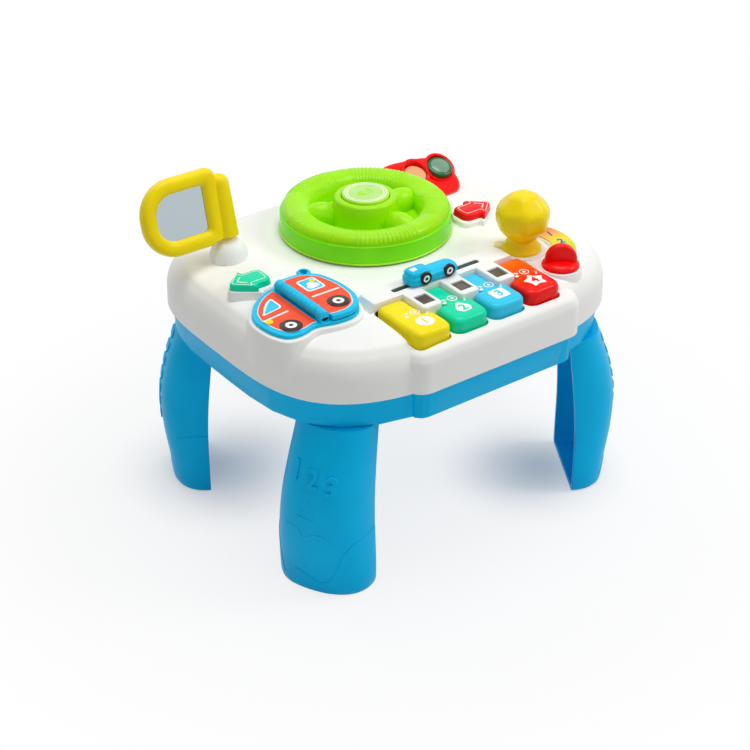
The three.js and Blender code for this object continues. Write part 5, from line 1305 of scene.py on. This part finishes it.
def facet_reach(way):
    """How far the soft-cornered many-sided head reaches in a direction, as a share of its radius."""
    total = 0.0
    for down, round_by in FACETS:
        a, b = math.radians(down), math.radians(round_by)
        level = way[0] * math.cos(b) + way[1] * math.sin(b)
        total += max(level * math.sin(a) + way[2] * math.cos(a), 0.0) ** FACET_POWER
    return min(FACET_SHARE * total ** (-1 / FACET_POWER), 1.0)


def gear_lever():
    g = GEAR
    low = g["seat_top"] + GAP
    profile = [(g["base"] - draw, low + up) for draw, up in g["foot"]]
    profile += [(g["neck"] + grow, low + up) for grow, up in g["flare"]] + [(g["neck"], g["waist"] - 3)]
    rings = turned_rings(profile, g["x"], g["y"], 72)
    fade, end = g["fade"]
    for a in np.linspace(math.pi - math.asin(g["neck"] / g["head"]), g["pole"], 30):
        ring = []
        for b in about(72):
            way = np.array([math.sin(a) * math.cos(b), math.sin(a) * math.sin(b), math.cos(a)])
            reach = facet_reach(way)
            if a >= fade:
                reach = reach * (end - a) / (end - fade) + (a - fade) / (end - fade)
            reach *= g["head"]
            ring.append((g["x"] + reach * way[0], g["y"] + reach * way[1],
                         g["head_z"] + reach * g["squash"] * way[2]))
        rings.append(ring)
    build("gear_grip", rings, "gear", M["gear"], nodes=["gear_lever"], slot="amber_yellow")
    wide, long = g["tongue_wide"], g["tongue"]
    tongue = rounded([(0, -wide / 2), (long, -wide / 3), (long, wide / 3), (0, wide / 2)], 5, 8)
    rings = pad_rings(lambda margin: [(p[0] * (1 + margin / 40), p[1] * (1 + margin / 8))
                                      for p in tongue], low,
                      low + g["tongue_thick"], 2 * EDGE)
    made = set_down(build("gear_tongue", rings, None, M["cream"]), g["x"], g["y"], turn=g["turn"])
    belong(made, "gear")


def arc_outline(inner, outer, grow, sides=32):
    start, end = math.radians(DIAL["start"]) - grow / outer, math.radians(DIAL["end"]) + grow / outer
    angles = np.linspace(start, end, sides)
    points = [polar(outer, GEAR["x"], GEAR["y"], a) for a in angles]
    return points + [polar(inner, GEAR["x"], GEAR["y"], a) for a in reversed(angles)]


def dial():
    d = DIAL
    top = d["low"] + d["thick"]
    field = slab(arc_outline(d["inner"], d["outer"], 0, 48), d["low"], top)
    build("dial_field", field, "table", M["dial"], nodes=["gear_dial"], slot="dial_print")
    for number, share in enumerate(d["shares"], 1):
        turn = math.radians(d["start"] + share * (d["end"] - d["start"]))
        place = polar((d["inner"] + d["outer"]) / 2, GEAR["x"], GEAR["y"], turn)
        lettering(f"dial_number_{number}", str(number), d["number"], *place, top, "table", M["numeral"],
                  turn=d["turn"], thick=0.15)


def start_knob():
    k = KNOB
    low = k["seat_top"] + GAP
    collar = [(k["radius"], low), (k["radius"], low + 1.4), (k["radius"] - SOFT, low + 2.4)]
    collar += [(k["radius"] * share, low + up * k["collar"]) for share, up in k["dome"]]
    turned("knob_collar", collar, k, "starter", M["red"], 72, nodes=["start_knob"], slot="red")

    def fin_at(margin):
        reach = k["fin"] + margin
        over = [polar(reach, 0, k["high"] - k["fin"], a) for a in np.linspace(0, math.pi, 25)]
        return [(-reach, -margin), (reach, -margin), *over]

    half = k["fin_thick"] / 2
    rings = [[(x, -z, y) for x, y, z in shape]
             for shape in pad_rings(fin_at, -half, half, k["fin_bevel"], True, 6)]
    made = set_down(build("knob_fin", rings, None, M["red"]), k["x"], k["y"], low + GAP, k["turn"])
    belong(made, "starter")


def hidden_parts():
    """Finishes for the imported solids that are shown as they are."""
    for name, found in frame["nodes"].items():
        for look, starts in SHOWN.items():
            if name.startswith(starts):
                found.data.materials.clear()
                found.data.materials.append(M[look])
                shade(found, 30)


shell()
tray()
legs()
wheel()
mirror()
arrow_buttons()
key_caps()
book()
traffic()
car()
gear_lever()
dial()
start_knob()
hidden_parts()

# Stage, lights and camera


def link(tree, *pairs):
    for source, target in pairs:
        tree.links.new(source, target)


def floor():
    """A pale floor that fades to plain white away from the table, keeps the table's shadow and has painted
    shade beside two legs.
    """
    mesh = bpy.data.meshes.new("floor")
    reach = FLOOR_REACH
    corners = [(-reach, -reach, 0), (reach, -reach, 0), (reach, reach, 0), (-reach, reach, 0)]
    mesh.from_pydata(corners, [], [(0, 1, 2, 3)])
    material = bpy.data.materials.new("pale_floor")
    material.use_nodes = True
    tree = material.node_tree
    tree.nodes.clear()
    matt = node(tree, "ShaderNodeBsdfDiffuse", Color=FLOOR_LIT)
    seen = node(tree, "ShaderNodeBsdfDiffuse", Color=FLOOR_SEEN)
    glow = node(tree, "ShaderNodeEmission", Color=(1, 1, 1, 1), Strength=1.0)
    place = node(tree, "ShaderNodeTexCoord")
    away = node(tree, "ShaderNodeVectorMath", operation="LENGTH")
    fade = held_range(tree, *FLOOR_FADE, FLOOR_GLOW)
    bright = node(tree, "ShaderNodeMixShader")
    mix = node(tree, "ShaderNodeMixShader")
    out = node(tree, "ShaderNodeOutputMaterial")
    link(tree, (place.outputs["Object"], away.inputs[0]), (away.outputs["Value"], fade.inputs["Value"]))
    level = fade.outputs["Result"]
    # Painted shade: the floor is darker round two spots beside the legs.
    for x, y, reach in SHADE_SPOTS:
        level = spare_spot(tree, place, level, metres([x, y, 0]), reach)
    link(tree, (level, bright.inputs["Fac"]), (seen.outputs[0], bright.inputs[1]),
         (glow.outputs[0], bright.inputs[2]),
         (seen_rays(tree), mix.inputs["Fac"]), (matt.outputs[0], mix.inputs[1]),
         (bright.outputs[0], mix.inputs[2]),
         (mix.outputs[0], out.inputs["Surface"]))
    show("floor", mesh, material)


def held_range(tree, start, end, least):
    """A soft rise from a least level to one, between two distances."""
    made = node(tree, "ShaderNodeMapRange", interpolation_type="SMOOTHSTEP")
    made.inputs["From Min"].default_value = start
    made.inputs["From Max"].default_value = end
    made.inputs["To Min"].default_value = least
    return made


def spare_spot(tree, place, level, middle, reach):
    """Painted shade: holds the floor's glow back near a leg, darkening the floor there over the leg's own
    shadow.
    """
    far = node(tree, "ShaderNodeVectorMath", operation="DISTANCE")
    far.inputs[1].default_value = middle
    held = held_range(tree, 0.0, reach, SHADE_LEAST)
    both = node(tree, "ShaderNodeMath", operation="MULTIPLY")
    link(tree, (place.outputs["Object"], far.inputs[0]), (far.outputs["Value"], held.inputs["Value"]),
         (level, both.inputs[0]), (held.outputs["Result"], both.inputs[1]))
    return both.outputs[0]


def seen_rays(tree):
    """One for rays from the eye and those that mirror or pass through, nought for the rest."""
    path = node(tree, "ShaderNodeLightPath")
    first = node(tree, "ShaderNodeMath", operation="MAXIMUM")
    second = node(tree, "ShaderNodeMath", operation="MAXIMUM")
    link(tree, (path.outputs["Is Camera Ray"], first.inputs[0]),
         (path.outputs["Is Glossy Ray"], first.inputs[1]),
         (first.outputs[0], second.inputs[0]), (path.outputs["Is Transmission Ray"], second.inputs[1]))
    return second.outputs[0]


def lamp(name, place, size, power):
    data = bpy.data.lights.new(name, "AREA")
    data.shape = "DISK"
    data.size = size
    data.energy = power
    made = bpy.data.objects.new(name, data)
    made.location = place
    made.rotation_euler = (Vector(LAMP_AIM) - Vector(place)).to_track_quat("-Z", "Y").to_euler()
    bpy.context.scene.collection.objects.link(made)


def world():
    sky = bpy.data.worlds.new("studio")
    bpy.context.scene.world = sky
    sky.use_nodes = True
    tree = sky.node_tree
    tree.nodes.clear()
    soft = node(tree, "ShaderNodeBackground", Color=(1, 1, 1, 1), Strength=SKY_LIGHT)
    seen = node(tree, "ShaderNodeBackground", Color=(1, 1, 1, 1), Strength=1.0)
    mix = node(tree, "ShaderNodeMixShader")
    out = node(tree, "ShaderNodeOutputWorld")
    link(tree, (seen_rays(tree), mix.inputs["Fac"]), (soft.outputs[0], mix.inputs[1]),
         (seen.outputs[0], mix.inputs[2]),
         (mix.outputs[0], out.inputs["Surface"]))


def camera():
    eye, aim = (np.array(metres(CAMERA[end])) for end in ("eye", "aim"))
    data = bpy.data.cameras.new("camera")
    data.lens = CAMERA["lens"]
    data.sensor_width = CAMERA["sensor"]
    data.clip_start = CAMERA["near"]
    made = bpy.data.objects.new("camera", data)
    made.location = eye
    made.rotation_mode = "QUATERNION"
    made.rotation_quaternion = Vector(aim - eye).to_track_quat("-Z", "Y")
    bpy.context.scene.collection.objects.link(made)
    bpy.context.scene.camera = made


floor()
world()
for lamp_sizes in LAMPS:
    lamp(*lamp_sizes)
camera()
bpy.context.scene.view_settings.view_transform = "Standard"
